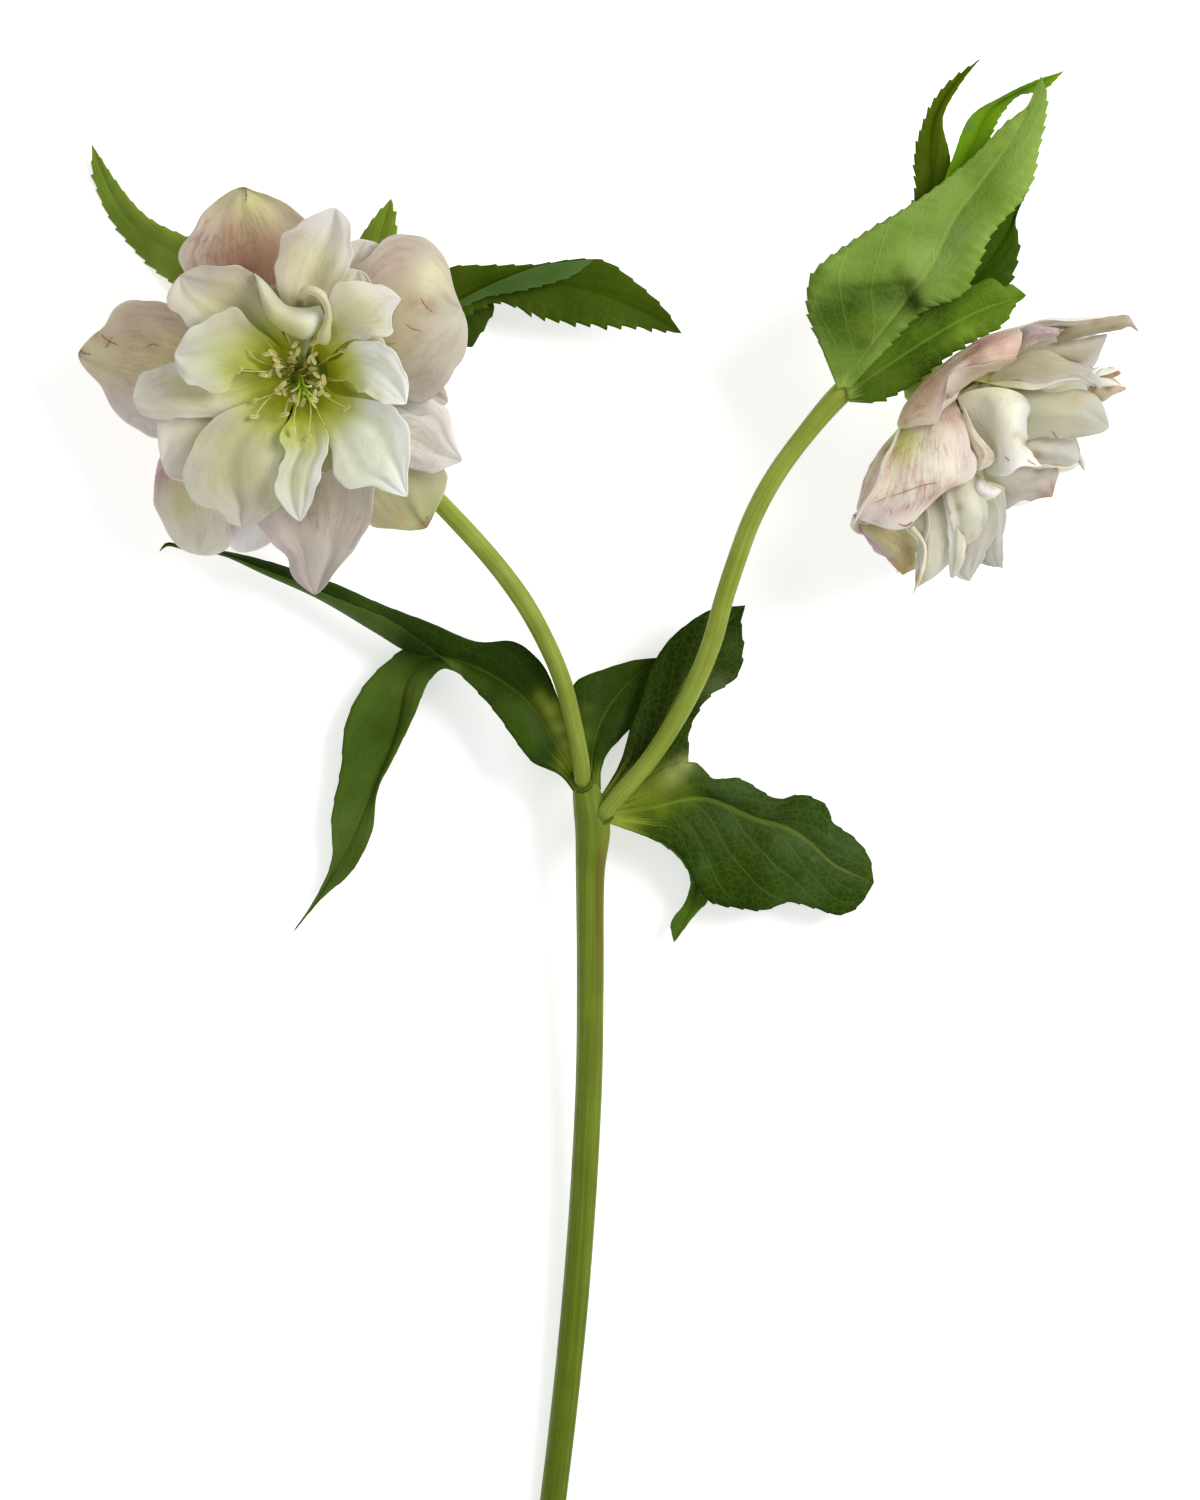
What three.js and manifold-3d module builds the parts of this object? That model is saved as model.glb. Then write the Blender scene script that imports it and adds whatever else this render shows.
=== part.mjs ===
// A hellebore flower: one cut stem that forks into two stalks, each with a double bloom.
// Millimetres, +Z up. The flower lies on the surface Z = 0, and is laid out on a plan whose
// origin is the fork, with +Y towards the blooms. The last lines move that plan so that the
// part's origin is under the middle of its box.

import * as THREE from 'three';
import { mergeVertices } from 'three/addons/utils/BufferGeometryUtils.js';
import Module from 'manifold-3d';

const wasm = await Module();
wasm.setup();

// ---- driving dimensions ----

const PETAL_THICKNESS = 0.66;
const LEAF_THICKNESS = 0.7;
const GAP = 0.32; // between two pieces that touch on the plant
const PLAN_ORIGIN = [-0.2, 3.3, 0]; // the fork, from the middle of the part's box on the surface

const TOOTH_DEPTH = 0.9;
const TOOTH_LEAN = 0.55; // how far a tooth points forward, as a share of its spacing

const STEM_SIDES = 10;
const PETAL_CELLS = { along: 6, across: 3 };
const SEPAL_CELLS = { along: 6, across: 4 };

// The main stem, from the cut end up to the fork: place of its centre, and radius.
const MAIN_STEM = [
  [-11.4, -154.0, 2.55, 2.7],
  [-9.3, -140.0, 3.2, 2.65],
  [-4.9, -100.0, 5.2, 2.7],
  [-2.3, -60.0, 8.0, 2.6],
  [-1.8, -36.0, 10.2, 2.65],
  [-1.8, -14.4, 12.3, 2.9],
  [-1.3, -5.2, 13.3, 3.4],
  [-1.6, 2.6, 14.0, 2.9],
];

// The two stalks, from inside the fork up to their receptacles.
const LEFT_STALK = [
  [-1.5, -8.0, 13.0, 1.9],
  [-3.6, 4.0, 14.4, 1.85],
  [-5.2, 13.0, 15.2, 1.85],
  [-7.8, 24.0, 16.0, 1.85],
  [-11.0, 32.0, 16.8, 1.85],
  [-15.5, 40.0, 17.4, 1.95],
  [-21.5, 48.0, 17.6, 1.9],
  [-28.7, 56.0, 17.2, 1.9],
  [-36.0, 63.5, 15.6, 1.85],
  [-43.5, 71.0, 13.4, 1.8],
  [-51.5, 79.0, 11.6, 1.8],
  [-56.2, 84.4, 13.4, 1.9],
  [-57.6, 85.8, 17.0, 2.2],
];
const RIGHT_STALK = [
  [-1.5, -8.0, 13.0, 1.9],
  [1.6, -2.6, 14.6, 1.9],
  [9.8, 9.0, 17.2, 1.95],
  [17.6, 21.0, 19.6, 1.95],
  [22.2, 31.0, 21.6, 1.95],
  [24.7, 40.0, 23.2, 1.9],
  [27.3, 48.0, 24.8, 1.9],
  [30.3, 56.0, 26.4, 1.9],
  [34.5, 64.0, 28.2, 1.9],
  [40.2, 72.0, 29.6, 1.9],
  [49.0, 82.0, 31.4, 2.2],
  [56.0, 86.8, 31.2, 2.1],
  [61.2, 86.4, 30.0, 2.4],
];

// ---- leaves ----
// A lobe is drawn by three lines from its base to its tip: left edge, rib and right edge.

const FORK_BRACT_LEFT = [
  {
    teeth: 12,
    belly: 0.8,
    left: [[-4.6, 0.6, 13.0], [-7.9, 4.8, 13.2], [-13.5, 7.6, 13.8], [-16.4, 11.2, 13.8],
      [-21.4, 18.2, 13.2], [-26.6, 23.8, 12.8], [-34.0, 30.2, 13.4], [-42.4, 36.0, 12.4],
      [-53.6, 40.6, 10.6], [-67.6, 46.2, 7.6], [-77.0, 49.6, 6.2], [-88.0, 50.2, 5.0]],
    rib: [[-3.6, 1.6, 13.0], [-8.2, 10.0, 12.6], [-15.2, 20.4, 11.6], [-28.2, 27.8, 10.2],
      [-38.0, 29.6, 9.6], [-45.0, 33.6, 9.0], [-56.2, 40.2, 7.8], [-67.6, 45.4, 6.6],
      [-77.0, 49.4, 5.6], [-88.0, 50.2, 5.0]],
    right: [[-3.4, 3.4, 13.0], [-6.4, 12.0, 13.2], [-8.8, 22.0, 13.2], [-11.4, 27.0, 13.0],
      [-17.0, 31.6, 11.8], [-24.5, 31.6, 10.4], [-34.0, 35.4, 8.6], [-44.0, 39.2, 7.0],
      [-54.0, 43.6, 5.8], [-71.0, 48.9, 4.8], [-88.0, 50.2, 4.8]],
  },
  {
    teeth: 10,
    left: [[-4.6, 1.0, 13.0], [-9.6, 7.4, 12.6], [-21.0, 19.6, 9.4], [-31.0, 26.4, 7.4],
      [-34.2, 24.0, 7.2], [-37.0, 17.5, 7.2], [-41.3, 8.5, 6.6], [-44.6, 2.0, 6.0], [-45.7, -6.3, 5.0],
      [-49.8, -14.3, 3.8], [-55.6, -19.6, 3.2], [-61.4, -26.3, 2.8]],
    rib: [[-4.0, 2.0, 13.0], [-9.2, 9.4, 12.2], [-21.0, 21.8, 8.8], [-33.6, 28.6, 6.8],
      [-38.4, 24.8, 5.6], [-40.6, 14.8, 5.0], [-43.6, 6.4, 4.6], [-48.0, -3.6, 4.0],
      [-51.0, -10.0, 3.4], [-57.2, -20.6, 2.8], [-61.4, -26.3, 2.8]],
    right: [[-3.6, 3.0, 13.0], [-8.8, 11.4, 12.6], [-22.0, 24.4, 8.8], [-36.0, 31.2, 6.6],
      [-43.0, 27.4, 6.2], [-48.0, 21.8, 6.4], [-51.1, 14.8, 6.4], [-51.9, 6.4, 6.0], [-53.8, -3.6, 5.4],
      [-53.8, -12.2, 4.6], [-57.4, -20.4, 3.4], [-61.4, -26.3, 2.8]],
  },
];

const FORK_BRACT_BACK = [
  {
    teeth: 8,
    left: [[-3.0, 2.0, 11.8], [-5.0, 11.0, 11.4], [-6.6, 19.6, 10.6], [-4.6, 23.8, 10.0],
      [0.9, 26.2, 9.0], [7.0, 28.0, 8.0], [11.6, 28.5, 7.0]],
    rib: [[-1.5, 2.0, 11.8], [-1.4, 10.0, 10.4], [0.6, 16.4, 9.0], [4.0, 21.6, 8.0], [7.5, 25.2, 7.4],
      [11.6, 28.5, 7.0]],
    right: [[0.2, 2.0, 11.8], [0.2, 6.0, 11.0], [1.5, 9.5, 9.8], [3.6, 11.8, 9.2], [6.6, 15.2, 8.2],
      [8.2, 18.2, 7.8], [10.0, 24.2, 7.2], [11.6, 28.5, 7.0]],
  },
];

const FORK_BRACT_RIGHT = [
  {
    teeth: 9,
    left: [[-0.6, -0.4, 12.6], [3.9, 7.2, 12.6], [6.2, 14.6, 12.4], [8.0, 19.1, 12.2],
      [10.2, 26.0, 12.0], [13.0, 31.0, 12.0], [16.2, 34.2, 12.2], [22.0, 38.0, 12.6],
      [29.1, 39.0, 13.0]],
    rib: [[0.0, -1.6, 12.6], [7.6, 6.6, 12.0], [13.0, 16.0, 11.0], [17.4, 24.4, 10.8],
      [22.6, 32.4, 11.4], [29.1, 39.0, 13.0]],
    right: [[1.0, -2.8, 12.6], [12.0, 1.6, 12.8], [17.4, 7.4, 12.6], [17.8, 13.6, 12.4],
      [21.4, 20.4, 12.2], [27.4, 24.8, 12.4], [28.6, 31.0, 12.8], [28.2, 35.6, 13.0],
      [29.1, 39.0, 13.0]],
  },
  {
    teeth: 12,
    belly: 1.4,
    left: [[0.0, -2.0, 12.6], [8.0, 3.4, 12.8], [14.8, 7.2, 12.8], [19.4, 7.2, 12.4], [22.6, 4.2, 11.8],
      [27.7, 4.2, 11.6], [35.5, 0.1, 8.6], [40.5, 0.9, 9.8], [45.2, -1.2, 8.6], [46.7, -4.7, 7.2],
      [50.6, -7.4, 7.6], [53.8, -11.4, 6.6], [54.9, -16.6, 6.0]],
    rib: [[0.2, -3.0, 12.6], [10.3, -1.6, 12.2], [17.2, 0.2, 11.4], [21.8, 0.4, 10.8],
      [30.9, -3.4, 9.8], [37.8, -5.6, 9.0], [42.4, -8.8, 8.6], [47.0, -13.0, 7.8], [54.9, -16.6, 6.0]],
    right: [[0.4, -4.2, 12.6], [10.3, -7.7, 12.8], [15.8, -10.2, 12.4], [18.4, -15.2, 11.2],
      [22.0, -20.2, 9.6], [28.0, -21.6, 8.6], [33.0, -22.0, 9.4], [38.0, -20.4, 7.8],
      [43.0, -21.6, 8.4], [48.0, -23.0, 7.4], [51.8, -21.2, 6.8], [54.9, -16.6, 6.0]],
  },
  {
    teeth: 6,
    left: [[0.8, -3.0, 12.4], [10.0, -7.6, 9.6], [20.0, -14.4, 7.2], [21.5, -19.8, 6.4],
      [18.1, -24.4, 5.6], [14.7, -28.8, 5.0]],
    rib: [[0.4, -4.0, 12.4], [9.4, -9.2, 9.0], [16.6, -15.8, 6.6], [17.8, -21.0, 5.8],
      [14.7, -28.8, 5.0]],
    right: [[0.0, -5.0, 12.2], [8.4, -11.0, 9.2], [14.4, -16.6, 6.8], [14.6, -22.6, 6.0],
      [14.7, -28.8, 5.0]],
  },
];

const LEFT_BLOOM_BRACTS = [
  [
    {
      teeth: 10,
      left: [[-52.6, 83.0, 11.2], [-66.0, 92.6, 8.0], [-78.0, 99.8, 4.6], [-85.0, 103.4, 2.0],
        [-92.0, 109.1, 0.2], [-98.7, 117.6, 0.1], [-101.7, 126.0, 1.2], [-101.9, 131.4, 2.4]],
      rib: [[-52.8, 84.4, 11.2], [-65.0, 96.4, 8.6], [-77.0, 104.6, 6.0], [-85.0, 109.4, 3.8],
        [-92.6, 114.6, 2.0], [-97.8, 121.4, 1.2], [-101.9, 131.4, 2.0]],
      right: [[-53.2, 86.4, 11.2], [-65.0, 100.6, 8.8], [-75.0, 108.6, 6.8], [-82.4, 112.6, 5.0],
        [-90.7, 116.8, 3.4], [-96.7, 123.5, 2.2], [-101.9, 131.4, 2.0]],
    },
  ],
  [
    {
      teeth: 6,
      left: [[-55.4, 85.2, 13.8], [-53.8, 98.0, 14.0], [-50.0, 109.0, 14.4], [-46.0, 115.4, 14.6],
        [-41.8, 120.4, 14.8]],
      rib: [[-54.8, 84.9, 13.8], [-48.8, 99.0, 13.6], [-45.2, 109.6, 14.0], [-41.8, 120.4, 14.8]],
      right: [[-54.2, 84.4, 13.8], [-43.6, 98.0, 14.0], [-40.8, 108.0, 14.4], [-40.8, 113.6, 14.6],
        [-41.8, 120.4, 14.8]],
    },
  ],
  [
    {
      teeth: 11,
      left: [[-53.4, 83.6, 12.4], [-42.0, 98.6, 12.0], [-30.6, 106.4, 11.8], [-21.0, 107.0, 11.8],
        [-12.8, 107.2, 12.4], [-4.4, 108.3, 13.0], [1.0, 107.8, 13.0], [6.2, 104.4, 12.6],
        [12.4, 98.8, 11.6], [16.4, 93.5, 10.8]],
      rib: [[-52.6, 82.6, 12.4], [-40.0, 93.6, 11.2], [-28.9, 99.8, 10.4], [-19.4, 103.0, 10.4],
        [-10.0, 103.4, 10.8], [0.0, 101.2, 11.0], [8.0, 98.0, 10.8], [16.4, 93.5, 10.8]],
      right: [[-51.8, 81.6, 12.4], [-38.0, 90.4, 11.6], [-28.0, 96.6, 11.2], [-20.9, 99.8, 11.2],
        [-9.8, 96.4, 11.6], [0.8, 95.2, 11.8], [8.1, 94.8, 11.4], [16.4, 93.5, 10.8]],
    },
    {
      teeth: 5,
      left: [[-52.2, 82.8, 12.2], [-38.0, 94.0, 9.8], [-28.6, 99.4, 8.4], [-21.4, 99.6, 7.8],
        [-25.6, 90.8, 7.2]],
      rib: [[-51.8, 82.2, 12.2], [-38.0, 91.4, 9.4], [-30.0, 95.4, 7.8], [-25.6, 90.8, 7.2]],
      right: [[-51.4, 81.6, 12.2], [-38.0, 89.0, 9.8], [-31.0, 91.0, 8.4], [-25.6, 90.8, 7.2]],
    },
  ],
];

const RIGHT_BLOOM_BRACTS = [
  [
    {
      teeth: 12,
      belly: 1.2,
      left: [[47.4, 82.0, 34.2], [44.6, 89.0, 37.4], [41.4, 98.0, 39.2], [42.4, 104.6, 39.6],
        [50.0, 111.0, 40.0], [64.2, 120.0, 40.8], [73.9, 127.6, 41.6], [80.3, 134.2, 42.0],
        [86.2, 139.2, 42.4], [87.9, 144.2, 42.8]],
      rib: [[48.4, 82.4, 34.2], [54.2, 90.8, 37.6], [60.6, 99.0, 39.2], [66.0, 107.0, 39.6],
        [70.6, 116.2, 40.0], [76.6, 124.4, 40.8], [83.0, 133.6, 41.8], [87.9, 144.2, 42.8]],
      right: [[49.8, 82.0, 34.2], [57.4, 90.4, 38.0], [64.4, 97.6, 40.4], [72.0, 100.8, 41.8],
        [75.0, 106.2, 42.0], [77.6, 112.4, 42.4], [85.2, 121.6, 43.0], [87.4, 130.2, 43.2],
        [88.9, 139.6, 43.0], [87.9, 144.2, 42.8]],
    },
    {
      teeth: 8,
      belly: 1.4,
      left: [[48.8, 82.6, 34.2], [54.6, 91.2, 37.8], [62.8, 98.8, 40.0], [71.6, 101.0, 40.6],
        [78.4, 103.8, 40.2], [82.2, 103.0, 39.8], [84.9, 100.6, 39.4]],
      rib: [[49.4, 81.2, 34.2], [57.6, 86.8, 38.6], [66.0, 92.2, 40.6], [75.0, 97.2, 40.4],
        [84.9, 100.6, 39.4]],
      right: [[49.8, 79.4, 33.8], [54.6, 79.4, 36.6], [61.0, 82.2, 39.2], [68.0, 87.6, 40.6],
        [73.6, 91.6, 40.6], [79.4, 94.6, 40.0], [83.6, 98.4, 39.6], [84.9, 100.6, 39.4]],
    },
  ],
  [
    {
      teeth: 8,
      left: [[49.6, 84.0, 33.1], [60.0, 96.0, 35.0], [70.0, 108.4, 36.0], [78.0, 117.0, 36.8],
        [85.8, 123.0, 38.0]],
      rib: [[50.0, 83.6, 33.1], [64.0, 94.0, 34.2], [74.0, 103.4, 34.6], [80.4, 112.0, 35.6],
        [85.8, 123.0, 38.0]],
      right: [[50.6, 83.2, 33.1], [68.0, 93.4, 34.6], [80.4, 101.6, 35.2], [83.4, 110.0, 36.0],
        [82.8, 115.8, 36.8], [85.8, 123.0, 38.0]],
    },
  ],
  [
    {
      teeth: 10,
      left: [[48.4, 84.4, 30.8], [53.0, 100.0, 31.0], [59.6, 113.0, 32.0], [63.0, 121.0, 32.8],
        [62.8, 128.0, 33.4], [64.4, 134.6, 34.2], [68.0, 141.4, 35.4], [75.7, 147.7, 37.0]],
      rib: [[49.2, 84.2, 30.8], [56.0, 100.0, 30.4], [62.4, 113.0, 31.2], [65.8, 121.4, 31.8],
        [65.6, 129.0, 32.4], [66.6, 136.0, 33.6], [70.4, 142.6, 35.2], [75.7, 147.7, 37.0]],
      right: [[50.0, 84.0, 30.8], [59.0, 99.0, 31.0], [65.6, 112.6, 32.2], [69.6, 121.6, 33.0],
        [69.8, 128.0, 33.6], [68.4, 136.0, 34.6], [71.6, 142.4, 35.8], [75.7, 147.7, 37.0]],
    },
  ],
  [
    {
      teeth: 9,
      left: [[50.0, 84.0, 31.95], [58.4, 99.0, 32.8], [66.0, 116.0, 35.0], [70.2, 127.6, 36.0],
        [74.0, 136.4, 36.6], [79.8, 140.1, 37.0], [86.2, 143.2, 37.4], [92.5, 145.3, 38.0]],
      rib: [[50.6, 83.8, 31.95], [60.8, 99.0, 32.4], [69.0, 116.0, 34.4], [73.8, 129.0, 35.4],
        [77.4, 137.2, 36.0], [84.4, 141.6, 36.8], [92.5, 145.3, 38.0]],
      right: [[51.2, 83.6, 31.95], [63.4, 98.6, 32.8], [72.0, 115.6, 35.2], [76.4, 128.4, 36.2],
        [79.4, 135.8, 36.8], [83.4, 140.4, 37.2], [88.4, 141.6, 37.6], [92.5, 145.3, 38.0]],
    },
  ],
];

// ---- blooms ----
// Sepals and petals in the bloom's own frame: azimuth in degrees, reach of the tip from the axis,
// its height along the axis, and width. Then come the elevations at which the rib leaves the foot
// and ends at the tip, the cup (half angle across), the point (0.4 blunt to 1.2 sharp), the depth
// of the frill, the twist about the rib, and how far the tip sways round the axis.

const LEFT_BLOOM = {
  name: 'left_bloom',
  at: [-58.2, 85.6, 22.0],
  axis: [-0.2, -0.1, 0.97],
  azimuthZero: [1, 0, 0],
  sepals: [
    { azimuth: 108, reach: 39.5, height: 7, width: 29, rise: 14, end: 8, cup: 12, point: 0.42 },
    { azimuth: 30, reach: 36.4, height: 1, width: 32, rise: 30, end: -50, cup: 12, point: 0.36, frill: 1.2 },
    { azimuth: 174, reach: 47.4, height: 4, width: 29, rise: 10, end: 2, cup: 18, point: 0.8, twist: 4 },
    { azimuth: 228, reach: 42.2, height: 1, width: 25, rise: 10, end: -14, cup: 12, point: 0.5 },
    { azimuth: 253, reach: 37.0, height: -1, width: 17, rise: 4, end: -16, cup: 8, point: 0.7 },
    { azimuth: 274, reach: 44.4, height: 5, width: 24, rise: 14, end: 2, cup: 14, point: 1.0 },
    { azimuth: 308, reach: 38.8, height: 0, width: 27, rise: 10, end: -18, cup: 10, point: 0.55 },
    { azimuth: 332, reach: 36.6, height: 5, width: 22, rise: 18, end: -4, cup: 12, point: 0.8 },
    { azimuth: 62, reach: 30.0, height: 5, width: 19, rise: 18, end: -8, cup: 10, point: 0.5 },
  ],
  petals: [
    { azimuth: 76, reach: 34.6, height: 15, width: 17, rise: 38, end: 2, cup: 24, point: 0.5 },
    { azimuth: 136, reach: 30.6, height: 13, width: 23, rise: 38, end: -2, cup: 18, point: 0.36 },
    { azimuth: 170, reach: 26.6, height: 18, width: 17, rise: 48, end: 4, cup: 22, point: 0.4, twist: 8 },
    { azimuth: 188, reach: 34.6, height: 12, width: 19, rise: 34, end: -4, cup: 16, point: 0.42, frill: 1.3 },
    { azimuth: 208, reach: 33.0, height: 10, width: 18, rise: 30, end: -4, cup: 14, point: 0.45 },
    { azimuth: 240, reach: 31.2, height: 14, width: 26, rise: 38, end: 2, cup: 14, point: 0.36, frill: 1.4 },
    { azimuth: 270, reach: 29.6, height: 18, width: 12, rise: 46, end: 8, cup: 36, point: 0.7, twist: 20 },
    { azimuth: 309, reach: 32.4, height: 15, width: 21, rise: 40, end: 0, cup: 18, point: 0.45, frill: 1.2 },
    { azimuth: 357, reach: 22.4, height: 18, width: 16, rise: 52, end: 8, cup: 22, point: 0.36 },
    { azimuth: 36, reach: 24.6, height: 16, width: 16, rise: 50, end: -50, cup: 10, point: 0.36 },
    { azimuth: 110, reach: 17.6, height: 17, width: 12, rise: 56, end: -10, cup: 24, point: 0.36, twist: -34 },
    { azimuth: 82, reach: 11.6, height: 19, width: 8, rise: 60, end: 150, cup: 20, point: 0.5, twist: 10 },
    { azimuth: 56, reach: 26.0, height: 11, width: 13, rise: 38, end: 2, cup: 18, point: 0.5 },
  ],
  stamens: { count: 36, seed: 11, reach: 12.8, height: 14 },
};

const RIGHT_BLOOM = {
  name: 'right_bloom',
  at: [65.0, 83.2, 30.9],
  axis: [0.75, -0.63, 0.2],
  azimuthZero: [0.64, 0.76, 0],
  sepals: [
    { azimuth: 4, reach: 36.5, height: 23.5, width: 26, rise: 12, end: 46, cup: 16, point: 0.8 },
    { azimuth: 80, reach: 28.0, height: 9, width: 34, rise: 54, end: -80, cup: 8, point: 0.36, twist: -16 },
    { azimuth: 143, reach: 34.0, height: 19, width: 32, rise: 46, end: -2, cup: 10, point: 0.4, twist: -34 },
    { azimuth: 164, reach: 33.0, height: 9, width: 30, rise: 18, end: 6, cup: 10, point: 0.6, twist: -24 },
    { azimuth: 193, reach: 33.4, height: 19, width: 24, rise: 24, end: 34, cup: 16, point: 0.8 },
    { azimuth: 234, reach: 34.0, height: 13, width: 28, rise: 28, end: 8, cup: 16, point: 0.6 },
    { azimuth: 280, reach: 34.4, height: 11, width: 28, rise: 26, end: 6, cup: 16, point: 0.6 },
    { azimuth: 324, reach: 35.0, height: 17, width: 26, rise: 28, end: 18, cup: 16, point: 0.7 },
  ],
  petals: [
    { azimuth: 92, reach: 22.0, height: 29, width: 19, rise: 52, end: 44, cup: 16, point: 0.4, frill: 1.3 },
    { azimuth: 28, reach: 29.0, height: 27, width: 27, rise: 42, end: 34, cup: 12, point: 0.42, frill: 1.3 },
    { azimuth: 46, reach: 23.6, height: 36, width: 18, rise: 58, end: 58, cup: 18, point: 0.75 },
    { azimuth: 70, reach: 18.0, height: 33, width: 18, rise: 64, end: 56, cup: 18, point: 0.45 },
    { azimuth: 104, reach: 17.0, height: 35, width: 18, rise: 66, end: 60, cup: 18, point: 0.5 },
    { azimuth: 128, reach: 27.0, height: 31, width: 17, rise: 54, end: 44, cup: 18, point: 0.42 },
    { azimuth: 154, reach: 32.0, height: 29, width: 16, rise: 48, end: 40, cup: 18, point: 0.7 },
    { azimuth: 175, reach: 34.0, height: 26, width: 17, rise: 42, end: 36, cup: 18, point: 0.85 },
    { azimuth: 204, reach: 21.0, height: 34, width: 15, rise: 58, end: 62, cup: 18, point: 0.85 },
    { azimuth: 226, reach: 29.0, height: 26, width: 17, rise: 46, end: 40, cup: 18, point: 0.7 },
    { azimuth: 264, reach: 22.0, height: 28, width: 17, rise: 54, end: 48, cup: 18, point: 0.5 },
    { azimuth: 292, reach: 20.0, height: 31, width: 17, rise: 58, end: 54, cup: 18, point: 0.7 },
    { azimuth: 328, reach: 29.4, height: 28, width: 18, rise: 48, end: 40, cup: 18, point: 0.75 },
    { azimuth: 8, reach: 27.0, height: 29, width: 16, rise: 48, end: 44, cup: 18, point: 0.75 },
  ],
  stamens: { count: 22, seed: 23, reach: 9, height: 15 },
};

// ---- geometry helpers ----

const vector = ([x, y, z]) => new THREE.Vector3(x, y, z);
const radians = THREE.MathUtils.degToRad;

// A closed solid from corner triples: corners that meet are merged, flat triangles dropped.
function solid(triples) {
  const geometry = new THREE.BufferGeometry().setFromPoints(triples.flat());
  const merged = mergeVertices(geometry, 1e-4);
  const index = merged.index.array;
  const kept = [];
  for (let i = 0; i < index.length; i += 3) {
    const [a, b, c] = [index[i], index[i + 1], index[i + 2]];
    if (a !== b && b !== c && c !== a) kept.push(a, b, c);
  }
  return new wasm.Manifold(new wasm.Mesh({
    numProp: 3,
    vertProperties: Float32Array.from(merged.attributes.position.array),
    triVerts: Uint32Array.from(kept),
  }));
}

function fromGeometry(geometry) {
  const flat = geometry.index ? geometry.toNonIndexed() : geometry;
  const corners = flat.attributes.position;
  return solid(Array.from({ length: corners.count / 3 }, (_, face) => (
    [0, 1, 2].map((k) => new THREE.Vector3().fromBufferAttribute(corners, 3 * face + k)))));
}

// The largest of a solid's loose bodies, without the scraps that a cut leaves.
function wholeBody(manifold) {
  const bodies = manifold.decompose();
  return bodies.reduce((best, body) => (body.volume() > best.volume() ? body : best));
}

function union(solids) {
  return solids.reduce((sum, next) => sum.add(next));
}

// A skin of quads over rows of points, as triangles that face the side set by `flip`.
function skin(rows, flip) {
  const triples = [];
  for (let i = 0; i + 1 < rows.length; i++) {
    for (let j = 0; j + 1 < rows[i].length; j++) {
      const [a, b, c, d] = [rows[i][j], rows[i + 1][j], rows[i + 1][j + 1], rows[i][j + 1]];
      triples.push(...(flip ? [[a, b, c], [a, c, d]] : [[a, c, b], [a, d, c]]));
    }
  }
  return triples;
}

// The unit normal of a grid of points at each of its points.
function gridNormals(rows) {
  const last = rows.length - 1;
  const normals = rows.map((row, i) => row.map((_, j) => {
    const along = rows[Math.min(i + 1, last)][j].clone().sub(rows[Math.max(i - 1, 0)][j]);
    const across = row[Math.min(j + 1, row.length - 1)].clone().sub(row[Math.max(j - 1, 0)]);
    return along.cross(across).normalize();
  }));
  const middle = normals[last - 1][Math.floor(rows[0].length / 2)];
  normals[last] = normals[last].map(() => middle.clone());
  return normals;
}

// A thin closed blade of even thickness round a grid whose last row is one point, the tip.
function blade(rows, thickness) {
  const normals = gridNormals(rows);
  const shift = (side) => rows.map((row, i) => row.map((point, j) => (
    point.clone().addScaledVector(normals[i][j], side * thickness / 2))));
  const [top, bottom] = [shift(1), shift(-1)];
  const rim = (grid) => [
    ...grid[0].slice(0, -1),
    ...grid.slice(0, -1).map((row) => row[row.length - 1]),
    grid[grid.length - 1][0],
    ...grid.slice(1, -1).reverse().map((row) => row[0]),
    grid[0][0],
  ];
  return solid([...skin(top, true), ...skin(bottom, false), ...skin([rim(bottom), rim(top)], true)]);
}

// A round bar through stations [x, y, z, radius], closed at both ends.
function bar(stations, sides, ringCount) {
  const curve = new THREE.CatmullRomCurve3(stations.map(vector), false, 'centripetal');
  const frames = curve.computeFrenetFrames(ringCount, false);
  const rings = [];
  for (let i = 0; i <= ringCount; i++) {
    const along = curve.getUtoTmapping(i / ringCount) * (stations.length - 1);
    const k = Math.min(Math.floor(along), stations.length - 2);
    const radius = THREE.MathUtils.lerp(stations[k][3], stations[k + 1][3], along - k);
    const centre = curve.getPointAt(i / ringCount);
    rings.push(Array.from({ length: sides + 1 }, (_, s) => {
      const angle = 2 * Math.PI * (s % sides) / sides;
      return centre.clone()
        .addScaledVector(frames.normals[i], radius * Math.cos(angle))
        .addScaledVector(frames.binormals[i], radius * Math.sin(angle));
    }));
  }
  const cap = (ring, flip) => ring.slice(1, -2).map((point, s) => (
    flip ? [ring[0], ring[s + 2], point] : [ring[0], point, ring[s + 2]]));
  return solid([...skin(rings, false), ...cap(rings[0], true), ...cap(rings[ringCount], false)]);
}

// ---- leaves ----

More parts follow.
